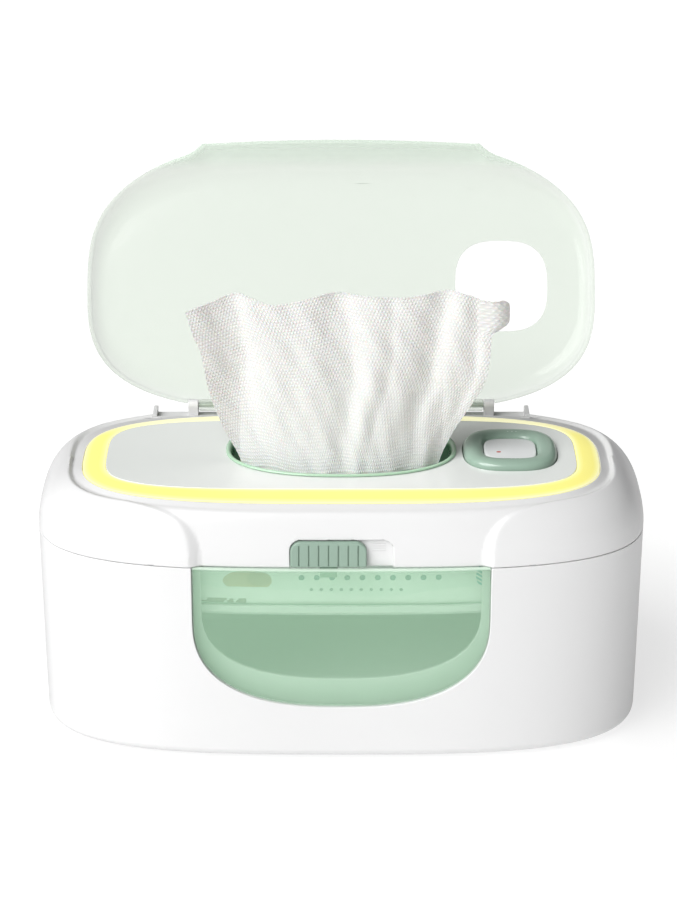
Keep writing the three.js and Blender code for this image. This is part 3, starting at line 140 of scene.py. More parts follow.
class WarmerRing(bpy.types.PropertyGroup):
    """Light ring, top panel and dispensing rim."""

    centre_y: length("Centre", -3, "Place of the ring, front to back")
    half_width: length("Panel half width", 100.7, "Half of the panel across")
    half_depth: length("Panel half depth", 37.1, "Half of the panel front to back")
    squareness: share("Squareness", 4.1, "Exponent of the panel")
    height: length("Panel height", 117.7, "Top of the panel")
    thickness: length("Panel thickness", 2, "Thickness of the panel")
    width: length("Ring width", 9.6, "Width of the glowing ring")
    edge_squareness: share("Ring squareness", 3.2, "Exponent of the ring's outer edge")
    edge: length("Ring edge height", 115.9, "Height of the ring's outer edge")
    rim_half_width: length("Rim half width", 49.5, "Half of the dispensing rim across")
    rim_half_depth: length("Rim half depth", 29.5, "Half of the dispensing rim front to back")
    rim_squareness: share("Rim squareness", 2.3, "Exponent of the rim")
    rim_y: length("Rim centre", 1.2, "Place of the rim, front to back")
    glow: share("Glow", 1.0, "Brightness of the ring")


class WarmerControl(bpy.types.PropertyGroup):
    """Control ring with its display."""

    x: length("Centre across", 72.4, "Place of the control, across")
    y: length("Centre in depth", -1.2, "Place of the control, front to back")
    half: length("Half size", 20.05, "Half of the control ring")
    squareness: share("Squareness", 2.8, "Exponent of the control ring")
    rise: length("Rise", 3, "Height of the crown above the panel")
    display_half: length("Display half size", 11.2, "Half of the display")
    display_squareness: share("Display squareness", 3.6, "Exponent of the display")
    display_sink: length("Display sink", 1.5, "How far the display lies below the crown")


class WarmerLatch(bpy.types.PropertyGroup):
    """Slide latch in the apron."""

    x: length("Centre", -5.3, "Place of the slider, across")
    width: length("Width", 31.7, "Slider, across")
    height: length("Height", 11.4, "Slider, up")
    corner: length("Corner", 4.6, "Radius of its upper corners")
    thickness: length("Thickness", 2.4, "Slider, in depth")
    travel: length("Travel", 10.7, "How far it slides")
    proud: length("Proud", 0.7, "How far it stands out of the apron")
    grooves: bpy.props.IntProperty(name="Grooves", description="Grip grooves", default=7, min=0, max=12)
    groove_pitch: length("Groove pitch", 4.1, "Distance between the grooves")


class WarmerWindow(bpy.types.PropertyGroup):
    """Viewing window in the lower housing."""

    half_width: length("Half width", 62.3, "Half of the window across")
    squareness: share("Squareness", 2.55, "Exponent of its lower edge")
    middle: length("Middle height", 66, "Where the lower curve begins")
    bottom: length("Bottom height", 25.8, "Lowest point")
    sink: length("Sink", 0.6, "How far the pane lies behind the face")
    pane: length("Pane", 2, "Thickness of the pane")
    flange: length("Flange", 3, "Width of the flange behind the edge")


class WarmerCover(bpy.types.PropertyGroup):
    """Clear dust cover, drawn shut and swung open about its hinge."""

    open_angle: bpy.props.FloatProperty(
        name="Open angle", description="How far it stands open", default=math.radians(120.7), subtype="ANGLE")
    hinge_y: length("Hinge in depth", 54, "Place of the hinge, front to back")
    hinge_z: length("Hinge height", 116.5, "Height of the hinge")
    half_width: length("Half width", 114.2, "Half of the cover across")
    rear: length("Rear reach", 3.2, "Behind the hinge")
    middle: length("Middle reach", 54.5, "Widest place, from the hinge")
    front: length("Front reach", 118.4, "Front edge, from the hinge")
    rear_squareness: share("Rear squareness", 3.2, "Exponent of the rear half")
    front_squareness: share("Front squareness", 2.85, "Exponent of the front half")
    wall: length("Wall", 1.8, "Thickness")
    rise: length("Rise", 8, "Height of the crown")
    top_half_width: length("Top half width", 108.8, "Half of its flat top")
    top_rear: length("Top rear", 6.5, "Rear edge of the flat top")
    top_front: length("Top front", 103.6, "Front edge of the flat top")
    top_squareness: share("Top squareness", 2.9, "Exponent of the flat top")
    drop_start: length("Drop start", 92, "Where the front lip starts to dip")
    drop: length("Drop", 12, "How far the front lip dips")
    tongue_half: length("Tongue half width", 61.3, "Half of the front tongue")
    tongue_bow: length("Tongue bow", 1.6, "Bow of the tongue's edge")
    tongue_fillet: length("Tongue fillet", 11, "Fillet beside the tongue")
    tongue_step: length("Tongue step", 3.2, "Step at the tongue's corners")
    clearance: length("Cut-out clearance", 0.7, "Gap round the control ring")


class WarmerWipe(bpy.types.PropertyGroup):
    """The wipe that stands out of the rim."""

    flat_width: length("Flat width", 150, "Width before it is gathered")
    flat_height: length("Flat height", 96, "Height of the part that is pulled up")
    base: length("Base height", 95.8, "Where it leaves the pack")
    thickness: length("Thickness", 0.35, "Thickness of the cloth")
    fold: length("Fold depth", 3.6, "Depth of its folds")
    emboss: length("Emboss pitch", 1.65, "Distance between the embossed dots")


class WarmerColours(bpy.types.PropertyGroup):
    """Colours of the moulded pieces."""

    white: colour("White", (0.82, 0.82, 0.82), "Housings")
    panel: colour("Panel", (0.93, 0.955, 0.93), "Top panel")
    glow: colour("Glow", (0.56, 0.53, 0.09), "Light ring")
    mint: colour("Mint", (0.97, 0.99, 0.975), "What the window pane lets through")
    mint_haze: colour("Mint haze", (0.6, 0.98, 0.67), "The window pane's own colour")
    cover: colour("Cover", (0.915, 0.93, 0.91), "What the dust cover lets through")
    cover_haze: colour("Cover haze", (0.7, 0.81, 0.68), "The dust cover's own colour")
    rim: colour("Rim green", (0.12, 0.33, 0.17), "Dispensing rim")
    sage: colour("Sage", (0.30, 0.42, 0.34), "Control ring and slider")
    cloth: colour("Cloth", (0.9, 0.875, 0.855), "Wipe")
    film: colour("Film", (0.86, 0.92, 0.88), "Wipes pack")


GROUPS = {
    "warmer_body": WarmerBody,
    "warmer_seat": WarmerSeat,
    "warmer_ring": WarmerRing,
    "warmer_control": WarmerControl,
    "warmer_latch": WarmerLatch,
    "warmer_window": WarmerWindow,
    "warmer_cover": WarmerCover,
    "warmer_wipe": WarmerWipe,
    "warmer_colours": WarmerColours,
}


def sizes(name):
    """The scene's own group of sizes or colours."""
    return getattr(bpy.context.scene, "warmer_" + name)


# Shaping tools


def oval_level(half_x, half_y, squareness, x, y, z):
    """A rule that places a point of the unit circle on an oval at height z."""

    def place(turn):
        turn += 0.07 * math.sin(4 * turn)
        c, s = math.cos(turn), math.sin(turn)
        reach = (abs(c) ** squareness + abs(s) ** squareness) ** (-1 / squareness)
        return Vector((x + c * reach * half_x, y + s * reach * half_y, z))

    return place


def stacked(rule, *rows):
    """Levels that one rule gives, each from its row of values."""
    return [rule(*row) for row in rows]


def round_level(middle, radius, z):
    return oval_level(radius, radius, 2, middle.x, middle.y, z)


def body_level(offset, z, side_offset=None, squareness=None):
    """A level of the body drawn in by an offset, and by another at the sides where one is given."""
    body = sizes("body")
    side = offset if side_offset is None else side_offset
    return oval_level(
        body.width / 2 - side, body.depth / 2 - offset, squareness or body.squareness, 0, 0, z)


def shoulder_levels(offset, reach, top, steps=16):
    """The shoulder's curve, from its widest height to its top."""
    body = sizes("body")
    side_reach = reach + body.shoulder_side - body.shoulder
    levels = []
    for i in range(steps + 1):
        turn = math.pi / 2 * i / steps
        drawn = 1 - math.cos(turn)
        squareness = body.squareness + (body.crest_squareness - body.squareness) * drawn
        levels.append(body_level(
            offset + reach * drawn, body.wide + (top - body.wide) * math.sin(turn),
            offset + side_reach * drawn, squareness))
    return levels


def panel_level(grow, z):
    """A level of the panel's outline grown outward, rounder towards the ring's outer edge."""
    ring = sizes("ring")
    squareness = ring.squareness + (ring.edge_squareness - ring.squareness) * max(0, grow / ring.width)
    return oval_level(ring.half_width + grow, ring.half_depth + grow, squareness, 0, ring.centre_y, z)


def rim_level(grow, z):
    ring = sizes("ring")
    return oval_level(
        ring.rim_half_width + grow, ring.rim_half_depth + grow, ring.rim_squareness, 0, ring.rim_y, z)


def control_level(half, squareness, z):
    control = sizes("control")
    return oval_level(half, half, squareness, control.x, control.y, z)


def lean_at(z):
    """How far the body's draft draws it in at height z."""
    body = sizes("body")
    return body.lean * (body.seam - z) / body.seam


class Skin:
    """A skin raised level by level from one circle of edges."""

    def __init__(self, segments):
        self.mesh = bmesh.new()
        bmesh.ops.create_circle(self.mesh, segments=segments, radius=1)
        self.turn = self.mesh.verts.layers.float.new("turn")
        for v in self.mesh.verts:
            v[self.turn] = math.atan2(v.co.y, v.co.x)
        self.edges = list(self.mesh.edges)
        self.first = self.edges
        self.begun = False

    def level(self, place):
        if self.begun:
            made = bmesh.ops.extrude_edge_only(self.mesh, edges=self.edges)
            fresh = [g for g in made["geom"] if isinstance(g, bmesh.types.BMVert)]
            rim = set(fresh)
            self.edges = list(dict.fromkeys(
                e for v in fresh for e in v.link_edges if e.other_vert(v) in rim))
        else:
            fresh = list(self.mesh.verts)
            self.begun = True
        for v in fresh:
            v.co = place(v[self.turn])
        return self

    def raise_through(self, levels):
        for place in levels:
            self.level(place)
        return self

    def cap_both(self):
        bmesh.ops.contextual_create(self.mesh, geom=self.first)
        bmesh.ops.contextual_create(self.mesh, geom=self.edges)
        return self

    def join_ends(self):
        bmesh.ops.bridge_loops(self.mesh, edges=self.first + self.edges)
        return self


def ordered(mesh):
    """Puts a bmesh's edges and faces in one order, because an extrusion leaves them in a new one each run."""
    mesh.verts.index_update()
    count = len(mesh.verts)

    def rank(part):
        lowest = sorted(v.index for v in part.verts)[:3]
        return sum(index * count ** power for power, index in enumerate(reversed(lowest)))

    for parts in (mesh.edges, mesh.faces):
        parts.sort(key=rank)
        parts.index_update()


def placed(name, mesh):
    """A finished bmesh as an object at the origin."""
    ordered(mesh)
    data = bpy.data.meshes.new(name)
    mesh.to_mesh(data)
    mesh.free()
    made = bpy.data.objects.new(name, data)
    bpy.context.scene.collection.objects.link(made)
    return made


def piece(name, mesh):
    """A finished bmesh as an object at the origin, faces outward."""
    bmesh.ops.recalc_face_normals(mesh, faces=mesh.faces)
    return placed(name, mesh)


def turned(name, levels, segments=144, closed=False):
    """A solid through levels: capped at both ends, or joined from the last to the first."""
    skin = Skin(segments).raise_through(levels)
    return piece(name, (skin.join_ends() if closed else skin.cap_both()).mesh)


def frontal(name, outline, near, far):
    """A prism lying front to back between two depths on an outline of points in x and z."""
    mesh = bmesh.new()
    points = [mesh.verts.new((x, near, z)) for x, z in outline]
    face = mesh.faces.new(points)
    made = bmesh.ops.extrude_face_region(mesh, geom=[face])
    fresh = [g for g in made["geom"] if isinstance(g, bmesh.types.BMVert)]
    bmesh.ops.translate(mesh, verts=fresh, vec=(0, far - near, 0))
    return piece(name, mesh)


def block(name, low, high):
    """A plain box between two corners, for cutting and joining."""
    low, high = Vector(low), Vector(high)
    mesh = bmesh.new()
    bmesh.ops.create_cube(mesh, size=1)
    bmesh.ops.scale(mesh, verts=mesh.verts, vec=high - low)
    bmesh.ops.translate(mesh, verts=mesh.verts, vec=(low + high) / 2)
    return piece(name, mesh)


def barrel(name, radius, start, end, segments=32):
    """A round bar between two points on one axis."""
    start, end = Vector(start), Vector(end)
    along = end - start
    mesh = bmesh.new()
    bmesh.ops.create_cone(
        mesh, cap_ends=True, segments=segments, radius1=radius, radius2=radius, depth=along.length)
    lean = Vector((0, 0, 1)).rotation_difference(along).to_matrix()
    bmesh.ops.rotate(mesh, verts=mesh.verts, cent=(0, 0, 0), matrix=lean)
    bmesh.ops.translate(mesh, verts=mesh.verts, vec=(start + end) / 2)
    return piece(name, mesh)


def settled(thing):
    """Applies a piece's modifiers."""
    graph = bpy.context.evaluated_depsgraph_get()
    data = bpy.data.meshes.new_from_object(thing.evaluated_get(graph))
    thing.modifiers.clear()
    old = thing.data
    thing.data = data
    bpy.data.meshes.remove(old)
    return thing


def carved(thing, tools, operation="DIFFERENCE"):
    """Cuts, joins or intersects a piece with tool solids, which are used up."""
    for tool in tools:
        step = thing.modifiers.new("carve", "BOOLEAN")
        step.operation = operation
        step.solver = "EXACT"
        step.object = tool
    settled(thing)
    for tool in tools:
        bpy.data.objects.remove(tool)
    return thing


@contextmanager
def opened(thing):
    """A piece's mesh, open for changes."""
    mesh = bmesh.new()
    mesh.from_mesh(thing.data)
    yield mesh
    mesh.to_mesh(thing.data)
    mesh.free()


def cleaned(thing, distance=0.01 * MM):
    """Merges a piece's doubles and drops what has no size."""
    with opened(thing) as mesh:
        bmesh.ops.remove_doubles(mesh, verts=mesh.verts, dist=distance)
        bmesh.ops.dissolve_degenerate(mesh, edges=mesh.edges, dist=distance)
    return thing


def smoothed(thing, crease=32):
    """Smooth shading, kept crisp where faces meet at more than the crease angle."""
    with opened(thing) as mesh:
        for face in mesh.faces:
            face.smooth = True
        for edge in mesh.edges:
            edge.smooth = len(edge.link_faces) == 2 and edge.calc_face_angle(0) < math.radians(crease)
    return thing


def rounded(thing, width, segments=2, crease=32, clamp=True, spared=None):
    """Softens a piece's hard edges, but for spared places, then evens the shading of its large faces."""
    smoothed(thing, crease)
    with opened(thing) as mesh:
        weight = mesh.edges.layers.float.new("bevel_weight_edge")
        for edge in mesh.edges:
            middle = (edge.verts[0].co + edge.verts[1].co) / 2
            edge[weight] = 0.0 if edge.smooth or (spared and spared(middle)) else 1.0
    soft = thing.modifiers.new("soft edges", "BEVEL")
    soft.width = width
    soft.segments = segments
    soft.limit_method = "WEIGHT"
    soft.use_clamp_overlap = clamp
    soft.loop_slide = False
    soft.miter_outer = "MITER_ARC"
    shade = thing.modifiers.new("even shading", "WEIGHTED_NORMAL")
    shade.keep_sharp = False
    shade.weight = 60
    return thing


def dressed(thing, finish, node):
    """Gives a piece its finish and the body of the packed node that it stands for, and hides that node."""
    thing.data.materials.clear()
    thing.data.materials.append(finish_of(finish))
    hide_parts(node)
    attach(thing, frame["nodes"][node]["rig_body"])
    return thing


# Finishes


class Amount:
    """A number that varies over a surface, so that shader sums read as plain sums."""

    def __init__(self, finish, socket):
        self.finish = finish
        self.socket = socket

    def sum(self, operation, *others):
        values = [self.socket] + [o.socket if isinstance(o, Amount) else o for o in others]
        return Amount(self.finish, self.finish.node(
            "ShaderNodeMath", {"operation": operation}, dict(enumerate(values))).outputs[0])

    def turned_sum(self, operation, other):
        """The same with the other value first."""
        return Amount(self.finish, self.finish.node(
            "ShaderNodeMath", {"operation": operation}, {0: other, 1: self.socket}).outputs[0])

    __add__ = partialmethod(sum, "ADD")
    __radd__ = partialmethod(turned_sum, "ADD")
    __sub__ = partialmethod(sum, "SUBTRACT")
    __rsub__ = partialmethod(turned_sum, "SUBTRACT")
    __mul__ = partialmethod(sum, "MULTIPLY")
    __rmul__ = partialmethod(turned_sum, "MULTIPLY")
    __truediv__ = partialmethod(sum, "DIVIDE")
    __pow__ = partialmethod(sum, "POWER")
    size = partialmethod(sum, "ABSOLUTE")
    below = partialmethod(sum, "LESS_THAN")
    above = partialmethod(sum, "GREATER_THAN")
    wave = partialmethod(sum, "SINE")
    wrap = partialmethod(sum, "PINGPONG")

    def held(self):
        """Kept from 0 to 1."""
        return Amount(self.finish, self.finish.node(
            "ShaderNodeClamp", {}, {"Value": self.socket}).outputs[0])


class Nodes:
    """A tree of shader nodes, and the one way in which a node is made in it."""

    def __init__(self, tree):
        self.tree = tree

    def node(self, kind, settings, sockets):
        made = self.tree.nodes.new(kind)
        for key, value in settings.items():
            setattr(made, key, value)
        for key, value in sockets.items():
            socket = made.inputs[key]
            if isinstance(value, Amount):
                value = value.socket
            if isinstance(value, bpy.types.NodeSocket):
                self.tree.links.new(value, socket)
            elif socket.type == "RGBA" and len(value) == 3:
                socket.default_value = (*value, 1)
            else:
                socket.default_value = value
        return made

    def ramp(self, factor, stops):
        made = self.node("ShaderNodeValToRGB", {}, {"Fac": factor})
        points = made.color_ramp.elements
        while len(points) < len(stops):
            points.new(0.5)
        for point, (at, tint) in zip(points, stops):
            point.position = at
            point.color = (*tint, 1)
        return made.outputs["Color"]


class Finish(Nodes):
    """One procedural finish on a Principled shader."""

    def __init__(self, name, **constants):
        self.material = bpy.data.materials.new(name)
        self.material.use_nodes = True
        super().__init__(self.material.node_tree)
        self.tree.nodes.clear()
        self.shader = self.node("ShaderNodeBsdfPrincipled", {}, {
            key.replace("_", " "): value for key, value in constants.items()})
        self.output = self.node("ShaderNodeOutputMaterial", {}, {"Surface": self.shader.outputs[0]})
        self.place = None

    def where(self):
        if self.place is None:
            self.place = self.node("ShaderNodeTexCoord", {}, {}).outputs["Object"]
        return self.place

    def spread(self, stretch, source=None):
        """The surface's place, stretched along its axes."""
        return self.node("ShaderNodeMapping", {}, {
            "Vector": source or self.where(), "Scale": stretch}).outputs[0]

    def axes(self, source=None):
        parts = self.node("ShaderNodeSeparateXYZ", {}, {"Vector": source or self.where()})
        return [Amount(self, parts.outputs[i]) for i in range(3)]

    def cloud(self, pitch, detail=3.0, source=None, stretch=(1, 1, 1)):
        """Soft noise with features about a pitch across."""
        place = self.spread(stretch, source) if stretch != (1, 1, 1) else (source or self.where())
        return Amount(self, self.node("ShaderNodeTexNoise", {}, {
            "Vector": place, "Scale": 1 / pitch, "Detail": detail}).outputs["Fac"])

    def facing(self):
        """How far the surface is turned away from the eye."""
        return Amount(self, self.node("ShaderNodeLayerWeight", {}, {"Blend": 0.5}).outputs["Facing"])

    def mix(self, factor, first, second):
        made = self.node("ShaderNodeMix", {"data_type": "RGBA"}, {0: factor, 6: first, 7: second})
        return made.outputs[2]

    def paint(self, **sockets):
        for key, value in sockets.items():
            socket = self.shader.inputs[key.replace("_", " ")]
            self.tree.links.new(value.socket if isinstance(value, Amount) else value, socket)
        return self

    def relief(self, height, depth, strength=1.0):
        made = self.node("ShaderNodeBump", {}, {"Height": height, "Distance": depth, "Strength": strength})
        self.tree.links.new(made.outputs[0], self.shader.inputs["Normal"])
        return self


def shaded(tint, by):
    """A colour made darker or lighter."""
    return tuple(max(0.0, min(1.0, c * by)) for c in tint)


def moulded(name, tint, roughness=0.3, peel=0.02 * MM, peel_pitch=1.6 * MM, change=0.02, coat=0.0):
    """Injection-moulded plastic: faint flow marks, an orange-peel surface and light handling wear, with
    painted shade that darkens it where it turns away from the eye."""
    made = Finish(name, Coat_Weight=coat, Coat_Roughness=0.08, IOR=1.5)
    flow = made.cloud(30 * MM, 2.0, stretch=(1, 1, 2.2))
    away = made.facing()
    even = made.mix(flow, shaded(tint, 1 - change), shaded(tint, 1 + change))
    # Painted shade: the colour runs to a darker copy of the tint where the surface turns away from the eye
    made.paint(Base_Color=made.mix(away ** 4 * 0.75, even, shaded(tint, 0.42)))
    handling = made.cloud(12 * MM, 4.0)
    made.paint(Roughness=roughness * (0.95 + 0.1 * handling))
    return made.relief(made.cloud(peel_pitch, 2.0), peel, 0.2).material


# The paler top edge of a clear piece, a painted highlight: where it starts and how deep it is, its veil and
# tint, and how dark its painted outline is
Crest = namedtuple("Crest", "start depth veil tint outline")
WINDOW_CREST = Crest(89.6 * MM, 0.5 * MM, 0.4, (0.82, 0.98, 0.84), 1.0)
COVER_CREST = Crest(208.5 * MM, 5 * MM, 0.08, (0.76, 0.96, 0.78), 0.4)


def see_through(name, tint, haze, veil, edge, crest):
    """Clear tinted plastic: straight sight through it, veiled by its own colour, with painted highlights that
    make it paler in its turned walls and at its top edge, and a painted dark line where it is seen end on."""
    made = Finish(name, Coat_Weight=0.7, Coat_Roughness=0.05, IOR=1.45)
    away = made.facing()
    _, _, z = made.axes()
    # Painted highlight along the top edge: a paler tint and more veil above the crest's start
    top = ((z - crest.start) / crest.depth).held()
    pale = tuple(1 - (1 - part) * 0.35 for part in haze)
    # Painted highlight and shade: paler colour in the turned walls, and a painted dark outline where it is
    # seen end on
    painted_wall_light = made.ramp(away, [(0.1, haze), (0.4, pale), (0.86, pale), (1.0, shaded(haze, crest.outline))])
    tinted = made.mix(top, painted_wall_light, crest.tint)
    flow = made.cloud(20 * MM, 2.0, stretch=(1, 1, 3))
    made.paint(Base_Color=made.mix(flow * 0.03, tinted, shaded(haze, 0.8)))
    made.paint(Roughness=0.1 + 0.05 * made.cloud(10 * MM, 3.0))
    made.relief(made.cloud(4 * MM, 1.0), 0.01 * MM, 0.2)
    open_sight = made.node("ShaderNodeBsdfTransparent", {}, {"Color": tint})
    veiled = (veil + edge * away ** 3 + top * crest.veil).held()
    both = made.node("ShaderNodeMixShader", {}, {
        0: veiled, 1: open_sight.outputs[0], 2: made.shader.outputs[0]})
    made.tree.links.new(both.outputs[0], made.output.inputs["Surface"])
    return made.material


def steel(name, tint=(0.56, 0.57, 0.58), roughness=0.32, pitch=0.6 * MM):
    """Drawn or turned steel with fine lines and slight staining."""
    made = Finish(name, Metallic=1.0)
    lines = made.cloud(pitch, 3.0, stretch=(0.15, 1, 1))
    stain = made.cloud(6 * MM, 4.0)
    made.paint(Base_Color=made.mix(stain, shaded(tint, 0.86), shaded(tint, 1.08)))
    made.paint(Roughness=roughness * (0.7 + 0.5 * lines) + 0.08 * stain)
    return made.relief(lines, 0.01 * MM, 0.3).material


def matte(name, tint, roughness=0.7, pitch=0.8 * MM, depth=0.04 * MM):
    """Rubber or silicone: matte, with faint dusty patches and a fine grain."""
    made = Finish(name, Sheen_Weight=0.15, Sheen_Roughness=0.5)
    dust = made.cloud(6 * MM, 4.0)
    made.paint(Base_Color=made.mix(dust, shaded(tint, 0.88), shaded(tint, 1.1)))
    made.paint(Roughness=roughness * (0.9 + 0.2 * dust))
    return made.relief(made.cloud(pitch, 3.0), depth, 0.6).material


def circuit(name):
    """Coated board: green mask over copper tracks, with tinned pads."""
    made = Finish(name, IOR=1.5)
    x, y, _ = made.axes()
    jog = (0.5 + 0.5 * (y * 900).wave()).above(0.55) * 0.0006
    track = ((x + jog).wrap(1.1 * MM)).below(0.35 * MM) * ((y + jog).wrap(6.2 * MM)).above(1.2 * MM)
    pad_x = x.wrap(2.4 * MM).below(0.5 * MM)
    pad_y = y.wrap(3.1 * MM).below(0.5 * MM)
    pad = pad_x * pad_y
    mask = made.mix(track, (0.018, 0.15, 0.06), (0.05, 0.27, 0.1))
    made.paint(Base_Color=made.mix(pad, mask, (0.62, 0.6, 0.55)))
    made.paint(Roughness=0.42 - 0.12 * pad + 0.1 * made.cloud(4 * MM))
    return made.relief(track + pad, 0.04 * MM, 0.5).material


def heater_film(name):
    """Amber film over a folded foil track."""
    made = Finish(name, Coat_Weight=0.3)
    x, y, _ = made.axes()
    bend = y + 0.6 * MM * (x * 420).wave()
    track = bend.wrap(3.2 * MM).below(1.2 * MM)
    film = made.mix(made.cloud(10 * MM), (0.42, 0.17, 0.035), (0.52, 0.23, 0.05))
    made.paint(Base_Color=made.mix(track, film, (0.2, 0.075, 0.02)))
    made.paint(Roughness=0.3 + 0.15 * made.cloud(3 * MM))
    return made.relief(track, 0.05 * MM, 0.5).material


def rolled(name):
    """Rolled aluminium sheet with long fine lines."""
    made = Finish(name, Metallic=1.0)
    lines = made.cloud(1.2 * MM, 4.0, stretch=(0.03, 1, 1))
    smear = made.cloud(20 * MM, 3.0)
    made.paint(Base_Color=made.mix(smear, (0.7, 0.71, 0.72), (0.83, 0.84, 0.85)))
    made.paint(Roughness=0.26 + 0.2 * lines + 0.06 * smear)
    return made.relief(lines, 0.02 * MM, 0.25).material


def glowing(name, tint, strength):
    """Frosted diffuser lit from below, brightest along its middle."""
    made = Finish(name, Emission_Strength=strength, Roughness=0.45, IOR=1.45)
    across = Amount(made, made.node("ShaderNodeAttribute", {"attribute_name": "across"}, {}).outputs["Fac"])
    band = made.ramp(across + 0.02 * (made.cloud(6 * MM) - 0.5), [
        (0.0, (0.62, 0.62, 0.5)), (0.12, (0.6, 0.58, 0.3)), (0.28, (0.56, 0.51, 0.2)),
        (0.72, (0.56, 0.51, 0.2)), (0.9, (0.6, 0.58, 0.35)), (1.0, (0.62, 0.62, 0.55))])
    _, y, _ = made.axes()
    rear = ((y - 18 * MM) / 0.014).held()
    made.paint(Emission_Color=made.mix(rear * 0.8, band, (0.62, 0.61, 0.42)))
    frost = made.mix(made.cloud(10 * MM), shaded(tint, 0.95), tint)
    made.paint(Base_Color=made.mix(rear * 0.7, frost, (0.6, 0.58, 0.4)))
    return made.relief(made.cloud(0.6 * MM, 2.0), 0.02 * MM, 0.3).material


def embossed_cloth(name, tint, pitch):
    """Embossed non-woven cloth: a fine dot pattern over tangled fibres, on the flat cloth's own map, with
    painted shade between the dots.
    """
    made = Finish(
        name, Sheen_Weight=0.35, Sheen_Roughness=0.6, Subsurface_Weight=0.12, Subsurface_Scale=0.004)
    flat = made.node("ShaderNodeUVMap", {"uv_map": "flat"}, {}).outputs[0]
    u, v, _ = made.axes(flat)
    turn = 4 * math.pi / (math.sqrt(3) * pitch)
    quarter = math.pi / 2
    rows = [v, u * 0.866 + v * 0.5, u * 0.866 - v * 0.5]
    first, second, third = [(row * turn + quarter).wave() for row in rows]
    dots = (first + second + third) * 0.22 + 0.33
    fibres = Amount(made, made.node("ShaderNodeTexNoise", {}, {
        "Vector": made.spread((1, 2.4, 1), flat), "Scale": 2600.0, "Detail": 4.0}).outputs["Fac"])
    damp = made.cloud(20 * MM, 3.0)
    # Painted shade: the colour darkens in the hollows between the embossed dots
    pale = made.mix(dots, shaded(tint, 0.82), tint)
    made.paint(Base_Color=made.mix(damp * 0.2, pale, shaded(tint, 0.94)))
    made.paint(Roughness=0.75 + 0.2 * fibres)
    return made.relief(dots + fibres * 0.2, 0.32 * MM, 0.9).material


def printed_film(name, tint):
    """Soft printed film: a pale ground with two bands, plain stones, a strip, a leaf and two rows of dots."""
    made = Finish(name, Coat_Weight=0.4, Coat_Roughness=0.12, IOR=1.48)
    x, _, z = made.axes()

    def spot(across, up, size, wide=1.0, tall=1.0):
        """An oval where both distances are small; its size is a reach squared."""
        return (across * across * wide + up * up * tall).below(size)

    drift = 0.0022 * (x * 38 + 1.2).wave() + 0.0009 * (x * 97).wave()
    stone_up = z - 78.5 * MM
    stone = spot(x + 39.5 * MM, stone_up, 0.000036, 0.34, 1.5) * stone_up.above(-2.8 * MM)
    pebble = spot(x + 34.5 * MM, z - 79.5 * MM, 0.000016, 0.6, 1.4)
    strip = (x + 49.5 * MM).size().below(9.5 * MM) * (z - 68.9 * MM).size().below(1.2 * MM)
    bar = made.cloud(3.5 * MM).above(0.42)
    leaf_x, leaf_z = x - 59.5 * MM, z - 80.5 * MM
    leaf = spot(leaf_x, leaf_z, 0.000026, 3.2)
    veins = (leaf_z + leaf_x * 0.7).wrap(0.9 * MM).above(0.3 * MM)
    low_dots = spot(x.wrap(2.1 * MM), z - 74.6 * MM, 0.0000006) * (x - 6 * MM).size().below(21 * MM)
    dots = spot((x - 2.5 * MM).wrap(3.2 * MM), z - 80.2 * MM, 0.0000016)
    dots = dots * (x - 12 * MM).size().below(32.5 * MM)
    printed = made.mix(made.cloud(20 * MM), shaded(tint, 0.96), tint)
    for place, ink in (
            ((z - 74.5 * MM + drift).below(0.0), (0.93, 0.96, 0.93)),
            ((z - 67.2 * MM).below(0.0), (0.6, 0.8, 0.68)),
            (stone * 0.95, (0.5, 0.36, 0.17)),
            (pebble * 0.7, (0.34, 0.24, 0.12)),
            (strip * bar * 0.85, (0.22, 0.2, 0.14)),
            (leaf * veins, (0.08, 0.42, 0.42)),
            (low_dots * 0.9, (0.14, 0.24, 0.2)),
            (dots, (0.06, 0.2, 0.19))):
        printed = made.mix(place, printed, ink)
    made.paint(Base_Color=printed)
    made.paint(Roughness=0.24 + 0.14 * made.cloud(8 * MM, 4.0))
    return made.relief(made.cloud(6 * MM, 4.0), 0.4 * MM, 0.5).material


def display_face(name):
    """Off-white display glass with one small warm indicator."""
    control = sizes("control")
    made = Finish(name, Coat_Weight=0.8, Coat_Roughness=0.05)
    x, y, _ = made.axes()
    dx, dy = x - (control.x - 5.0 * MM), y - (control.y - 3.6 * MM)
    lamp = (dx * dx + dy * dy * 2.2).below(0.0000011)
    ground = made.mix(made.cloud(6 * MM), (0.86, 0.88, 0.88), (0.93, 0.95, 0.95))
    made.paint(Base_Color=made.mix(lamp, ground, (0.62, 0.09, 0.06)))
    made.paint(Roughness=0.16 + 0.08 * made.cloud(4 * MM))
    return made.relief(made.cloud(2 * MM), 0.01 * MM, 0.2).material


def marked_ring(name, tint):
    """Satin plastic with two rows of plain pale dots, one for more heat and one for less."""
    control = sizes("control")
    made = Finish(name, Coat_Weight=0.7, Coat_Roughness=0.08, IOR=1.5)
    x, y, _ = made.axes()
    across = (x - (control.x + 1.6 * MM)).size()
    cell = across.wrap(0.9 * MM)
    band = control.display_half + 3.4 * MM
    away = ((y - control.y).size() - band).size()
    dots = (cell * cell + away * away).below(0.0000001) * across.below(2.3 * MM)
    flow = made.cloud(12 * MM, 2.0)
    ground = made.mix(flow, shaded(tint, 0.94), shaded(tint, 1.06))
    made.paint(Base_Color=made.mix(dots * 0.8, ground, (0.72, 0.8, 0.74)))
    made.paint(Roughness=0.3 * (0.85 + 0.3 * made.cloud(10 * MM, 4.0)))
    return made.relief(made.cloud(1.2 * MM), 0.02 * MM, 0.3).material


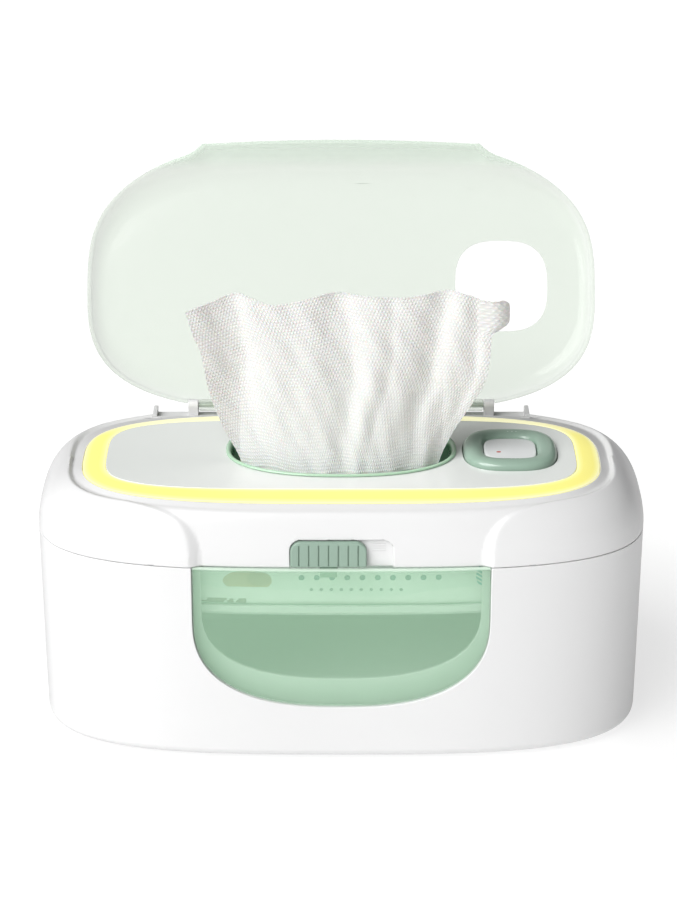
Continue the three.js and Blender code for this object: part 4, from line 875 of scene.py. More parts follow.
def rim_gloss(name, tint):
    """Glossy translucent green: a painted highlight makes its lip pale, most at the front, deeper green
    down its throat.
    """
    ring = sizes("ring")
    made = Finish(name, Coat_Weight=0.8, Coat_Roughness=0.05, IOR=1.5)
    _, y, z = made.axes()
    # Painted highlight: pale along the top of the lip, strongest at the front of the rim
    lip = ((z - (ring.height - 1.6 * MM)) / 0.0018).held() * (0.9 - (y / 0.02).held() * 0.5)
    deep = made.mix(made.cloud(12 * MM), shaded(tint, 0.92), shaded(tint, 1.08))
    made.paint(Base_Color=made.mix(lip, deep, (0.55, 0.8, 0.58)))
    made.paint(Roughness=0.14 + 0.06 * made.cloud(6 * MM))
    return made.relief(made.cloud(1.6 * MM), 0.01 * MM, 0.2).material


def floor_paint(name):
    """White studio floor that glows from below as on a light table, with a painted shadow: dimmer near the
    object.
    """
    made = Finish(name, Roughness=0.6, Emission_Strength=0.8)
    x, y, _ = made.axes()
    # Painted shadow: the floor's glow is dimmer near the object and full further out
    away = ((x * x * 0.6 + y * y * 1.6) / 0.05 - 0.1).held()
    made.paint(Emission_Color=made.mix(away, (0.82, 0.82, 0.82), (1.0, 1.0, 1.0)))
    grain = made.cloud(400 * MM, 2.0)
    made.paint(Base_Color=made.mix(grain, (0.33, 0.33, 0.33), (0.35, 0.35, 0.35)))
    return made.material


def finish_of(name):
    """The finishes by name, each made once."""
    if name in bpy.data.materials:
        return bpy.data.materials[name]
    tints = sizes("colours")
    makers = {
        "white_moulding": lambda: moulded(name, tints.white, 0.34, peel=0.012 * MM, change=0.008),
        # Painted shade: the inner pieces take a slightly darker copy of the housing white
        "white_inner": lambda: moulded(name, shaded(tints.white, 0.98), 0.4),
        "panel_gloss": lambda: moulded(name, tints.panel, 0.14, peel=0.01 * MM, coat=0.4),
        "ring_glow": lambda: glowing(name, tints.glow, sizes("ring").glow),
        "window_mint": lambda: see_through(name, tints.mint, tints.mint_haze, 0.26, 0.4, WINDOW_CREST),
        "cover_tint": lambda: see_through(name, tints.cover, tints.cover_haze, 0.18, 0.45, COVER_CREST),
        "green_gloss": lambda: rim_gloss(name, tints.rim),
        "sage_satin": lambda: moulded(name, tints.sage, 0.36, change=0.04),
        # Painted light: the control ring takes a lighter copy of the slider's sage
        "sage_marked": lambda: marked_ring(name, shaded(tints.sage, 1.14)),
        "display_face": lambda: display_face(name),
        "pin_steel": lambda: steel(name),
        "pale_pin": lambda: steel(name, (0.84, 0.86, 0.85), 0.4),
        "spring_steel": lambda: steel(name, (0.6, 0.61, 0.62), 0.22),
        "rolled_aluminium": lambda: rolled(name),
        "foot_rubber": lambda: matte(name, (0.27, 0.29, 0.28)),
        "soft_silicone": lambda: matte(name, (0.76, 0.8, 0.78), 0.55),
        "circuit_board": lambda: circuit(name),
        "black_moulding": lambda: moulded(name, (0.022, 0.023, 0.024), 0.42),
        "heater_film": lambda: heater_film(name),
        "printed_film": lambda: printed_film(name, tints.film),
        "embossed_cloth": lambda: embossed_cloth(name, tints.cloth, sizes("wipe").emboss),
        "fuse_sleeve": lambda: matte(name, (0.8, 0.79, 0.74), 0.6, 0.7 * MM, 0.1 * MM),
        "pale_floor": lambda: floor_paint(name),
    }
    return makers[name]()


# The housings


def window_outline(grow, bottom, top, steps=72):
    """The window's outline in x and z: a drooping curve below a straight top."""
    window = sizes("window")
    half = window.half_width + grow
    points = []
    for i in range(steps + 1):
        turn = math.pi + math.pi * i / steps
        c, s = math.cos(turn), math.sin(turn)
        reach = (abs(c) ** window.squareness + abs(s) ** window.squareness) ** (-1 / window.squareness)
        points.append((c * reach * half, window.middle + s * reach * (window.middle - bottom)))
    return points + [(half, top), (-half, top)]


# The gap between pieces that fit together, and how far a tool reaches past what it cuts
FIT = 0.3 * MM
PAST = 10 * MM
# The main hinges: middles across, lengths of knuckle and ear, radii, stand-off and reach of the arms
MAIN_PAIR = (-50 * MM, 50 * MM)
MAIN_KNUCKLE = 16 * MM
MAIN_EAR = 8 * MM
KNUCKLE_RADIUS = 3 * MM
PIN_RADIUS = 1.2 * MM
MAIN_STAND_OFF = 1.4 * MM
MAIN_ARM = 4.1 * MM
# The cover's hinges
COVER_PAIR = (-58 * MM, 58 * MM)
COVER_KNUCKLE = 11 * MM
COVER_EAR = 4.5 * MM
COVER_RADIUS = 2.5 * MM
COVER_BORE = 1.3 * MM
COVER_BORE_HALF = 10.5 * MM
# Depths between which a tool for the front wall lies
FRONT_TOOL = (-75 * MM, -20 * MM)


def main_bars(name, radius, half, centres=MAIN_PAIR):
    """Round bars on the line of the main hinges."""
    body = sizes("body")
    y, z = body.depth / 2 + MAIN_STAND_OFF, body.seam
    return [barrel(f"{name}_{i}", radius, (x - half, y, z), (x + half, y, z)) for i, x in enumerate(centres)]


def cover_bars(name, radius, half, centres=COVER_PAIR):
    """Round bars on the line of the cover's hinges."""
    cover = sizes("cover")
    y, z = cover.hinge_y, cover.hinge_z
    return [barrel(f"{name}_{i}", radius, (x - half, y, z), (x + half, y, z)) for i, x in enumerate(centres)]


def ear_centres(pair, knuckle, ear):
    """Middles of the ears on both sides of each knuckle."""
    return [x + end * ((knuckle + ear) / 2 + FIT) for x in pair for end in (-1, 1)]


class WARMER_OT_lower_shell(bpy.types.Operator):
    """Lower housing with its window opening and hinge ears"""

    bl_idname = "warmer.lower_shell"
    bl_label = "Lower housing"

    def execute(self, context):
        body, window = sizes("body"), sizes("window")
        rest = lean_at(body.stand)
        top = body.seam - body.seam_gap / 2
        lip = body.stand + 2.4 * MM
        edge = 8.4 * MM
        ledge = edge + 7.5 * MM
        tub_seat = 13 * MM
        round_steps = 8
        levels = [body_level(edge, body.stand)]
        for i in range(round_steps + 1):
            turn = math.pi / 2 * i / round_steps
            levels.append(body_level(
                rest + body.bottom_round * (1 - math.sin(turn)),
                body.stand + body.bottom_round * (1 - math.cos(turn))))
        levels += [body_level(lean_at(z), z) for z in (30 * MM, 55 * MM, 75 * MM, top)]
        levels += stacked(
            body_level,
            (body.wall + lean_at(top), top),
            (body.wall + lean_at(tub_seat), tub_seat),
            (body.wall + rest + body.bottom_round / 2, lip + 2.4 * MM),
            (ledge, lip + 2.4 * MM),
            (ledge, lip),
            (edge, lip))
        shell = turned("lower_shell", levels, closed=True)
        hinge_y = body.depth / 2 + MAIN_STAND_OFF
        ears = []
        for i, x in enumerate(ear_centres(MAIN_PAIR, MAIN_KNUCKLE, MAIN_EAR)):
            left, right = x - MAIN_EAR / 2, x + MAIN_EAR / 2
            ears.append(barrel(
                f"ear_{i}", KNUCKLE_RADIUS, (left, hinge_y, body.seam), (right, hinge_y, body.seam)))
            ears.append(block(
                f"arm_{i}", (left, hinge_y - MAIN_ARM, body.seam - KNUCKLE_RADIUS), (right, hinge_y, top)))
        carved(shell, ears, "UNION")
        opening = frontal("opening", window_outline(0, window.bottom, top + PAST), -75 * MM, -30 * MM)
        rooms = main_bars("room", KNUCKLE_RADIUS + FIT, MAIN_KNUCKLE / 2 + FIT)
        bores = main_bars("bore", PIN_RADIUS + FIT, MAIN_KNUCKLE / 2 + MAIN_EAR + 1 * MM)
        carved(shell, [opening] + rooms + bores)
        rounded(cleaned(shell), 0.35 * MM, 2, 34, clamp=False)
        dressed(shell, "white_moulding", "lower_housing")
        return {"FINISHED"}


def seat_edge(across):
    """How far forward the recess and its apron reach, at a place across."""
    seat = sizes("seat")
    part = min(1.0, abs(across) / seat.half_width)
    edge = seat.half_depth * (1 - part ** seat.squareness) ** (1 / seat.squareness)
    beyond = abs(across) - seat.apron_half
    if beyond <= 0:
        return 80 * MM
    if beyond < seat.flare_reach:
        edge += seat.flare * (1 - math.sqrt(beyond / seat.flare_reach)) ** 1.2
    return edge


def within_seat(spot):
    """Whether a place in plan lies in the recess or its apron."""
    seat = sizes("seat")
    if spot.y < 0:
        return abs(spot.x) < seat.half_width and -spot.y < seat_edge(spot.x)
    across, deep = abs(spot.x) / seat.half_width, spot.y / seat.half_depth
    return across ** seat.squareness + deep ** seat.squareness < 1


def fold_line():
    """Places along the fold between the shoulder and the recess, in plan, for finding the nearest."""
    seat = sizes("seat")
    rear = oval_level(seat.half_width, seat.half_depth, seat.squareness, 0, 0, 0)
    steps = 1200
    spots = [rear(math.pi * i / steps) for i in range(steps + 1)]
    for i in range(1, steps + 1):
        across = seat.apron_half + (seat.half_width - seat.apron_half) * (i / steps) ** 2
        spots += [Vector((side * across, -seat_edge(across), 0)) for side in (-1, 1)]
    start = seat_edge(seat.apron_half + 0.01 * MM)
    for i in range(40):
        spots += [Vector((side * seat.apron_half, -start - i * 0.2 * MM, 0)) for side in (-1, 1)]
    nearest = KDTree(len(spots))
    for i, spot in enumerate(spots):
        nearest.insert(spot, i)
    nearest.balance()
    return nearest


def surface_of(levels, segments=360):
    """A solid through levels, for finding where a ray leaves it."""
    mesh = Skin(segments).raise_through(levels).cap_both().mesh
    tree = BVHTree.FromBMesh(mesh)
    mesh.free()
    return tree


def upper_skin(bottom):
    """The upper housing's skin: the shoulder, stepped softly down to the recess, and back inside."""
    body, seat, ring = sizes("body"), sizes("seat"), sizes("ring")
    edge_z = ring.edge - FIT
    dome = surface_of([body_level(0, 0.08)] + shoulder_levels(0, body.shoulder, body.crest, 32) + [
        body_level(40 * MM, body.crest)])
    core = surface_of([body_level(seat.sink, 0.08)] + shoulder_levels(seat.sink, seat.fold, seat.deck, 24) + [
        panel_level(ring.width + FIT, edge_z), panel_level(ring.width - 20 * MM, edge_z + 0.2 * MM)])
    nearest = fold_line()
    centre_z = 98 * MM
    spine = panel_level(ring.width + FIT, 0)
    outer = body_level(0, 0)

    def surface(go):
        """The level that rays reach: level with the seam at -1, sideways at 0 and upward at 1."""
        height = centre_z + min(0, go) * (centre_z - bottom)
        turn_up = math.pi / 2 * max(0, go)

        def place(turn):
            start = spine(turn)
            out = (outer(turn) - start).normalized()
            ray = out * math.cos(turn_up) + Vector((0, 0, math.sin(turn_up)))
            start.z = height
            on_dome = dome.ray_cast(start, ray)[0]
            on_core = core.ray_cast(start, ray)[0]
            if on_dome is None:
                on_dome = start + ray * (body.crest - centre_z)
            far = (on_dome - start).length
            near = min(far, (on_core - start).length) if on_core else far
            plan = Vector((on_dome.x, on_dome.y, 0))
            away = nearest.find(plan)[2] * (1 if within_seat(plan) else -1)
            share_in = max(0.0, min(1.0, 0.5 + away / (2 * seat.step_half)))
            share_in *= share_in * (3 - 2 * share_in)
            return start + ray * (far + (near - far) * share_in)

        return place

    inside = seat.sink + body.wall
    shelf_z = ring.edge - 3.1 * MM
    deck_bottom = seat.deck - 4.3 * MM
    steps = 46
    levels = [surface(go) for go in (-1, -0.9, -0.5, 0)]
    levels += [surface(i / steps) for i in range(1, steps + 1)]
    levels += stacked(
        panel_level, (ring.width + FIT, shelf_z), (ring.width - 2.8 * MM, shelf_z),
        (ring.width - 2.8 * MM, deck_bottom))
    levels += list(reversed(shoulder_levels(inside, body.shoulder, deck_bottom, 10)))
    levels.append(body_level(inside, bottom))
    return Skin(720).raise_through(levels)


def slot_outline(left, right, low, high, corner, steps=8):
    """An upright slot in x and z, round at its upper corners."""
    points = [(left, low), (right, low)]
    for middle, start in ((right - corner, 0), (left + corner, math.pi / 2)):
        for i in range(steps + 1):
            turn = start + math.pi / 2 * i / steps
            points.append((middle + corner * math.cos(turn), high - corner + corner * math.sin(turn)))
    return points


class WARMER_OT_upper_shell(bpy.types.Operator):
    """Upper housing: domed shell, recess, apron, latch slot and hinge well"""

    bl_idname = "warmer.upper_shell"
    bl_label = "Upper housing"

    def execute(self, context):
        body, seat, latch, cover = (sizes(name) for name in ("body", "seat", "latch", "cover"))
        bottom = body.seam + body.seam_gap / 2
        shell = piece("upper_shell", upper_skin(bottom).join_ends().mesh)
        left = latch.x - latch.width / 2 - FIT
        right = latch.x + latch.width / 2 + latch.travel + FIT
        face = -body.depth / 2 + seat.sink
        pocket = face - latch.proud + latch.thickness + FIT
        slot_top = bottom + latch.height + 2.5 * FIT
        backing = block(
            "backing", (left - body.wall, face + 1.75 * MM, bottom),
            (right + body.wall, pocket + 1.4 * MM, slot_top + body.wall))
        well_half, well_front, well_floor = 82 * MM, 46 * MM, 111.4 * MM
        well_block = block(
            "well_block", (-well_half - 2 * MM, well_front - 2 * MM, well_floor - 2 * MM),
            (well_half + 2 * MM, 58.5 * MM, 114.5 * MM))
        hinge_y = body.depth / 2 + MAIN_STAND_OFF
        knuckles = main_bars("knuckle", KNUCKLE_RADIUS, MAIN_KNUCKLE / 2)
        arms = [block(
            f"arm_{i}", (x - MAIN_KNUCKLE / 2, hinge_y - MAIN_ARM, bottom),
            (x + MAIN_KNUCKLE / 2, hinge_y, body.seam + KNUCKLE_RADIUS)) for i, x in enumerate(MAIN_PAIR)]
        carved(shell, [backing, well_block] + knuckles + arms, "UNION")
        well = block("well", (-well_half, well_front, well_floor), (well_half, 80 * MM, 130 * MM))
        slot = frontal(
            "slot", slot_outline(left, right, bottom - PAST, slot_top, latch.corner), -80 * MM, pocket)
        stem = block(
            "stem", (latch.x - 3.8 * MM, pocket - 1 * MM, bottom + 2.7 * MM),
            (latch.x + latch.travel + 3.8 * MM, pocket + 4 * MM, bottom + 6.3 * MM))
        lines = [block(
            f"line_{i}", (right - 8.6 * MM, pocket - 1 * MM, slot_top - (2.1 + 1.1 * i) * MM),
            (right - 3 * MM, pocket + 0.15 * MM, slot_top - (1.9 + 1.1 * i) * MM)) for i in range(4)]
        rooms = main_bars(
            "room", KNUCKLE_RADIUS + FIT, MAIN_EAR / 2 + FIT, ear_centres(MAIN_PAIR, MAIN_KNUCKLE, MAIN_EAR))
        bores = main_bars("bore", PIN_RADIUS + FIT, MAIN_KNUCKLE / 2 + MAIN_EAR)
        inlet_z = 103.6 * MM
        inlet = barrel("inlet", 5.3 * MM, (0, 45 * MM, inlet_z), (0, 75 * MM, inlet_z), 48)
        carved(shell, [well, slot, stem, inlet] + lines + rooms + bores)
        ears = []
        y, z = cover.hinge_y, cover.hinge_z
        for i, x in enumerate(ear_centres(COVER_PAIR, COVER_KNUCKLE, COVER_EAR)):
            start, end = x - COVER_EAR / 2, x + COVER_EAR / 2
            ears.append(block(
                f"stand_{i}", (start, y - COVER_RADIUS, 110.8 * MM), (end, y + COVER_RADIUS, z)))
            ears.append(barrel(f"ear_{i}", COVER_RADIUS, (start, y, z), (end, y, z)))
        carved(shell, ears, "UNION")
        carved(shell, cover_bars("pin_room", COVER_BORE, COVER_BORE_HALF))
        rounded(
            cleaned(shell), 0.3 * MM, 2, 34, clamp=False,
            spared=lambda spot: abs(spot.y - pocket) < 0.3 * MM)
        dressed(shell, "white_moulding", "upper_housing")
        return {"FINISHED"}


class WARMER_OT_window(bpy.types.Operator):
    """Clear pane of the viewing window, with its flange"""

    bl_idname = "warmer.window"
    bl_label = "Window pane"

    def execute(self, context):
        body, window = sizes("body"), sizes("window")
        top = body.seam - body.seam_gap / 2

        def skin(name, outer, inner):
            """The body's own wall between two offsets."""
            high, low = top + PAST, 12 * MM
            made = turned(name, stacked(
                body_level, (outer + lean_at(low), low), (outer + lean_at(high), high)))
            core = turned("core", stacked(
                body_level, (inner + lean_at(low), low - PAST), (inner + lean_at(high), high + PAST)))
            return carved(made, [core])

        pane = skin("window_glass", window.sink, window.sink + window.pane)
        carved(pane, [frontal(
            "plug", window_outline(-FIT, window.bottom + FIT, top), *FRONT_TOOL)], "INTERSECT")
        back = body.wall + FIT
        flange = skin("flange", back - 0.2 * MM, back + 1.2 * MM)
        carved(flange, [frontal(
            "flange_edge", window_outline(window.flange, window.bottom - window.flange, top - 2.4 * MM),
            *FRONT_TOOL)], "INTERSECT")
        carved(pane, [flange], "UNION")
        rounded(cleaned(pane), 0.5 * MM, 3, 40, clamp=False)
        dressed(pane, "window_mint", "window_pane")
        return {"FINISHED"}


# The lid's top


class WARMER_OT_light_ring(bpy.types.Operator):
    """Frosted ring lit from below"""

    bl_idname = "warmer.light_ring"
    bl_label = "Light ring"

    def execute(self, context):
        ring = sizes("ring")
        bottom = ring.edge - 2.8 * MM
        seat = ring.height - ring.thickness - FIT
        steps = 8
        levels = []
        for i in range(steps + 1):
            go = i / steps
            lift = ring.height + (ring.edge - ring.height) * go + 0.35 * MM * math.sin(math.pi * go)
            levels.append(panel_level(ring.width * go, lift))
        ledge = 3.2 * MM
        foot = bottom - 1.6 * MM
        levels += stacked(
            panel_level, (ring.width, bottom), (ring.width - ledge, bottom), (ring.width - ledge, foot),
            (-ledge, foot), (-ledge, seat), (0, seat))
        skin = Skin(160)
        across = skin.mesh.verts.layers.float.new("across")
        for i, place in enumerate(levels):
            skin.level(place)
            for edge in skin.edges:
                for v in edge.verts:
                    v[across] = i / steps if i <= steps else 0.5
        glow = piece("glow_ring", skin.join_ends().mesh)
        rounded(glow, 0.2 * MM, 2, 40)
        dressed(glow, "ring_glow", "light_ring")
        return {"FINISHED"}


class WARMER_OT_top_panel(bpy.types.Operator):
    """Glossy panel inside the ring"""

    bl_idname = "warmer.top_panel"
    bl_label = "Top panel"

    def execute(self, context):
        ring, control = sizes("ring"), sizes("control")
        low = ring.height - ring.thickness
        under, over = low - PAST, 130 * MM
        panel = turned("gloss_panel", stacked(panel_level, (-FIT, low), (-FIT, ring.height)), 160)
        rim_hole = turned("rim_hole", stacked(rim_level, (-0.7 * MM, under), (-0.7 * MM, over)), 120)
        key_hole = turned("key_hole", stacked(
            control_level, (control.half + FIT, control.squareness, under),
            (control.half + FIT, control.squareness, over)), 96)
        carved(panel, [rim_hole, key_hole])
        rounded(cleaned(panel), 0.3 * MM, 3, 40)
        dressed(panel, "panel_gloss", "top_panel")
        return {"FINISHED"}


class WARMER_OT_dispensing_rim(bpy.types.Operator):
    """Green rim round the opening that the wipes come out of"""

    bl_idname = "warmer.dispensing_rim"
    bl_label = "Dispensing rim"

    def execute(self, context):
        ring = sizes("ring")
        bottom = 101.3 * MM
        lip = ring.height + FIT
        levels = stacked(
            rim_level, (-2 * MM, bottom), (-1 * MM, lip - ring.thickness), (-1 * MM, lip), (0, lip),
            (0.05 * MM, lip + 0.25 * MM), (-0.15 * MM, lip + 0.6 * MM), (-0.6 * MM, lip + 0.8 * MM),
            (-1.3 * MM, lip + 0.75 * MM), (-1.9 * MM, lip + 0.3 * MM), (-2.4 * MM, lip - 0.6 * MM),
            (-2.6 * MM, lip - 2 * MM), (-3.6 * MM, bottom))
        rim = turned("green_rim", levels, 128, closed=True)
        smoothed(rim, 45)
        dressed(rim, "green_gloss", "dispensing_rim")
        return {"FINISHED"}


class WARMER_OT_control(bpy.types.Operator):
    """Control ring with its display"""

    bl_idname = "warmer.control"
    bl_label = "Control ring and display"

    def execute(self, context):
        control, ring = sizes("control"), sizes("ring")
        inner = control.display_half + FIT
        brim = 1.4 * MM
        base = ring.height - ring.thickness - FIT - brim
        levels = stacked(
            control_level,
            (control.half + brim, control.squareness, base),
            (control.half + brim, control.squareness, base + brim),
            (control.half, control.squareness, base + brim))
        steps = 16
        for i in range(steps + 1):
            turn = -math.pi / 2 + math.pi * i / steps
            over = (1 + math.sin(turn)) / 2
            rise = control.rise * math.cos(turn) ** 0.8 if 0 < i < steps else 0
            levels.append(control_level(
                control.half - (control.half - inner) * over,
                control.squareness + (control.display_squareness - control.squareness) * over,
                ring.height + FIT + rise))
        levels.append(control_level(inner, control.display_squareness, base))
        key = smoothed(turned("control_key", levels, 112, closed=True), 50)
        dressed(key, "sage_marked", "control_ring")
        top = ring.height + control.rise - control.display_sink
        half, square = control.display_half, control.display_squareness
        face = turned("display_glass", stacked(
            control_level, (half, square, 108.5 * MM), (half, square, top - 0.5 * MM),
            (half - 0.15 * MM, square, top - 0.15 * MM), (half - 0.5 * MM, square, top - 0.03 * MM),
            (half - 1.5 * MM, square, top)), 96)
        smoothed(face, 50)
        dressed(face, "display_face", "display_window")
        return {"FINISHED"}


class WARMER_OT_slider(bpy.types.Operator):
    """Ribbed latch slider"""

    bl_idname = "warmer.slider"
    bl_label = "Latch slider"

    def execute(self, context):
        body, seat, latch = sizes("body"), sizes("seat"), sizes("latch")
        bottom = body.seam + body.seam_gap / 2 + FIT
        face = -body.depth / 2 + seat.sink - latch.proud
        left, right = latch.x - latch.width / 2, latch.x + latch.width / 2
        plate = frontal("ribbed_slider", slot_outline(
            left, right, bottom, bottom + latch.height, latch.corner, 12), face, face + latch.thickness)
        rounded(plate, 0.6 * MM, 3, 30)
        settled(plate)
        cuts = []
        for i in range(latch.grooves):
            x = latch.x + (i - (latch.grooves - 1) / 2) * latch.groove_pitch
            cuts.append(block(
                f"cut_{i}", (x - 0.3 * MM, face - PAST, bottom + 0.6 * MM),
                (x + 0.3 * MM, face + 0.7 * MM, bottom + latch.height - 1.5 * MM)))
        carved(plate, cuts)
        hook_low, hook_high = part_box("latch_slider")
        near_x, far_x = latch.x - 3.5 * MM, latch.x + 3.5 * MM
        hook_y = -55.9 * MM
        shank_y, shank_top = hook_high.y - 1.05 * MM, bottom + 5.7 * MM
        stem = block("stem", (near_x, face + 1.4 * MM, bottom + 2.7 * MM), (far_x, shank_y, shank_top))
        hook = block("hook", (near_x, hook_y, hook_low.z), (far_x, shank_y, shank_top))
        barb = block("barb", (near_x, hook_y, hook_low.z), (far_x, hook_high.y, hook_low.z + 1.5 * MM))
        carved(plate, [stem, hook, barb], "UNION")
        rounded(cleaned(plate), 0.12 * MM, 2, 34)
        dressed(plate, "sage_satin", "latch_slider")
        return {"FINISHED"}


# The dust cover


def cover_plan(turn):
    """A point of the shut cover's outline: across, and forward of the hinge."""
    cover = sizes("cover")
    turn += 0.05 * math.sin(4 * turn)
    c, s = math.cos(turn), math.sin(turn)
    front = s < 0
    squareness = cover.front_squareness if front else cover.rear_squareness
    size = (abs(c) ** squareness + abs(s) ** squareness) ** (-1 / squareness)
    across = cover.half_width * c * size
    if not front:
        return across, cover.middle - (cover.middle + cover.rear) * abs(s) * size
    reach = cover.front - cover.middle
    forward = cover.middle + reach * abs(s) * size

    def rest(u):
        """The front edge without its tongue."""
        part = min(1, abs(u) / cover.half_width)
        return cover.middle + reach * (1 - part ** squareness) ** (1 / squareness)

    beyond = (abs(across) - cover.tongue_half) / cover.tongue_fillet
    if beyond >= 1:
        return across, forward
    if beyond > 0:
        edge = cover.front + cover.tongue_step - rest(cover.tongue_half) - cover.tongue_bow
        return across, forward + edge * 0.6 * (1 - beyond) ** 2.5
    along = abs(across) / cover.tongue_half
    return across, cover.front - cover.tongue_bow + cover.tongue_bow * (1 - along * along)


def cover_level(fold, inset, rise):
    """A level of the cover: fold 0 at the rim and 1 at the edge of its flat top, drawn in by an inset."""
    cover = sizes("cover")
    middle = (cover.top_front + cover.top_rear) / 2
    half = (cover.top_front - cover.top_rear) / 2

    def place(turn):
        u, w = cover_plan(turn)
        across = u / cover.half_width
        reach = cover.front - cover.middle if w > cover.middle else cover.middle + cover.rear
        along = (w - cover.middle) / reach
        square = cover.top_squareness
        size = (abs(across) ** square + abs(along) ** square) ** (-1 / square)
        x = u + (cover.top_half_width * across * size - u) * fold
        y = w + (middle + half * along * size - w) * fold
        span = math.hypot(x, y - middle)
        fall = max(0, w - cover.drop_start) / (cover.front - cover.drop_start)
        dip = -cover.drop * fall * fall * (1 - rise / cover.rise)
        return Vector((
            x * (1 - inset / span), cover.hinge_y - (middle + (y - middle) * (1 - inset / span)),
            cover.hinge_z + dip + rise))

    return place


class WARMER_OT_dust_cover(bpy.types.Operator):
    """Clear dust cover standing open, with its cut-out and hinge knuckles"""

    bl_idname = "warmer.dust_cover"
    bl_label = "Dust cover"

    def execute(self, context):
        cover, control = sizes("cover"), sizes("control")
        steps = 12
        inner_rise = cover.rise - cover.wall
        outer, inner = [], []
        for i in range(steps + 1):
            turn = math.pi / 2 * i / steps
            fold = 1 - math.cos(turn)
            outer.append(cover_level(fold, 0, cover.rise * math.sin(turn)))
            inner.append(cover_level(fold, cover.wall, inner_rise * math.sin(turn)))
        skin = Skin(288).raise_through([cover_level(0, cover.wall / 2, 0)] + outer)
        bmesh.ops.contextual_create(skin.mesh, geom=skin.edges)
        under = Skin(288).raise_through([cover_level(0, cover.wall / 2, 0)] + inner)
        bmesh.ops.contextual_create(under.mesh, geom=under.edges)
        lining = piece("lining", under.mesh)
        skin.mesh.from_mesh(lining.data)
        bpy.data.objects.remove(lining)
        bmesh.ops.remove_doubles(skin.mesh, verts=skin.mesh.verts, dist=0.000001)
        shell = piece("clear_cover", skin.mesh)
        knuckles = cover_bars("knuckle", COVER_RADIUS, COVER_KNUCKLE / 2)
        arms = [block(
            f"arm_{i}", (x - COVER_KNUCKLE / 2, cover.hinge_y, cover.hinge_z - COVER_RADIUS),
            (x + COVER_KNUCKLE / 2, cover.hinge_y + cover.rear - 0.9 * MM, cover.hinge_z + 4 * MM))
            for i, x in enumerate(COVER_PAIR)]
        half, square = control.half + cover.clearance, control.squareness
        hole = turned("hole", stacked(control_level, (half, square, 100 * MM), (half, square, 140 * MM)), 96)
        carved(shell, [hole])
        carved(shell, knuckles + arms, "UNION")
        rooms = cover_bars(
            "room", 4.1 * MM, COVER_EAR / 2 + FIT, ear_centres(COVER_PAIR, COVER_KNUCKLE, COVER_EAR))
        carved(shell, rooms + cover_bars("bore", COVER_BORE, COVER_BORE_HALF))
        with opened(cleaned(shell)) as mesh:
            bmesh.ops.rotate(
                mesh, verts=mesh.verts, cent=(0, cover.hinge_y, cover.hinge_z),
                matrix=Matrix.Rotation(-cover.open_angle, 3, "X"))
        rounded(shell, 0.3 * MM, 2, 40, clamp=False)
        dressed(shell, "cover_tint", "dust_cover")
        return {"FINISHED"}


# Wipes, springs and inner pieces


def through(points, at):
    """A smooth curve through points, read at one place."""
    last = len(points) - 1
    i = max(0, min(last - 1, sum(1 for p in points if p[0] <= at) - 1))
    slopes = []
    for j in (i, i + 1):
        (left, low), (right, high) = points[max(0, j - 1)], points[min(last, j + 1)]
        slopes.append((high - low) / (right - left))
    (start, first), (end, second) = points[i], points[i + 1]
    span = end - start
    go = max(0.0, min(1.0, (at - start) / span))
    eased = go * go * (3 - 2 * go)
    return first + (second - first) * eased + span * go * (1 - go) * ((1 - go) * slopes[0] - go * slopes[1])


# The wipe's two side edges as heights and places across, and its top edge as shares across and heights, in mm
WIPE_LEFT = ((96, -38), (118, -42.8), (132, -49.8), (148, -55.8), (166, -59.4), (173, -62.3), (184, -65.5))
WIPE_RIGHT = ((96, 38), (116, 41), (128, 46.2), (140, 53.6), (151, 60.3), (163, 62.8), (188, 63.4))
WIPE_TOP = (
    (-1, 183.7), (-0.83, 186.6), (-0.65, 189.7), (-0.45, 185.8), (-0.27, 187), (-0.07, 189.7), (0.18, 189.2),
    (0.4, 188.6), (0.74, 191.2), (0.85, 189.6), (0.93, 187.4), (1, 186.4))
# The wipe's highest edge, the front of its neck with the bow and half width of that, its top in depth, and
# where its free corner lies and how far it reaches, in mm
WIPE_HIGH, WIPE_NECK_Y, WIPE_NECK_BOW, WIPE_NECK_HALF, WIPE_TOP_Y = 188, -24.6, 12.6, 43, -2.5
CORNER_HEIGHT, CORNER_HALF, CORNER_REACH = 180.5, 6.6, 7.6
# Each fold's places across at four heights from the neck up, its width and its depth
WIPE_FOLDS = (
    (-0.76, -0.75, -0.71, -0.68, 0.11, 1.0), (0.07, 0.04, 0.03, 0.03, 0.13, 1.1),
    (0.66, 0.6, 0.6, 0.7, 0.11, 0.85), (0.25, 0.27, 0.31, 0.35, 0.06, 0.25), (0.9, 0.91, 0.9, 0.9, 0.05, 0.3))


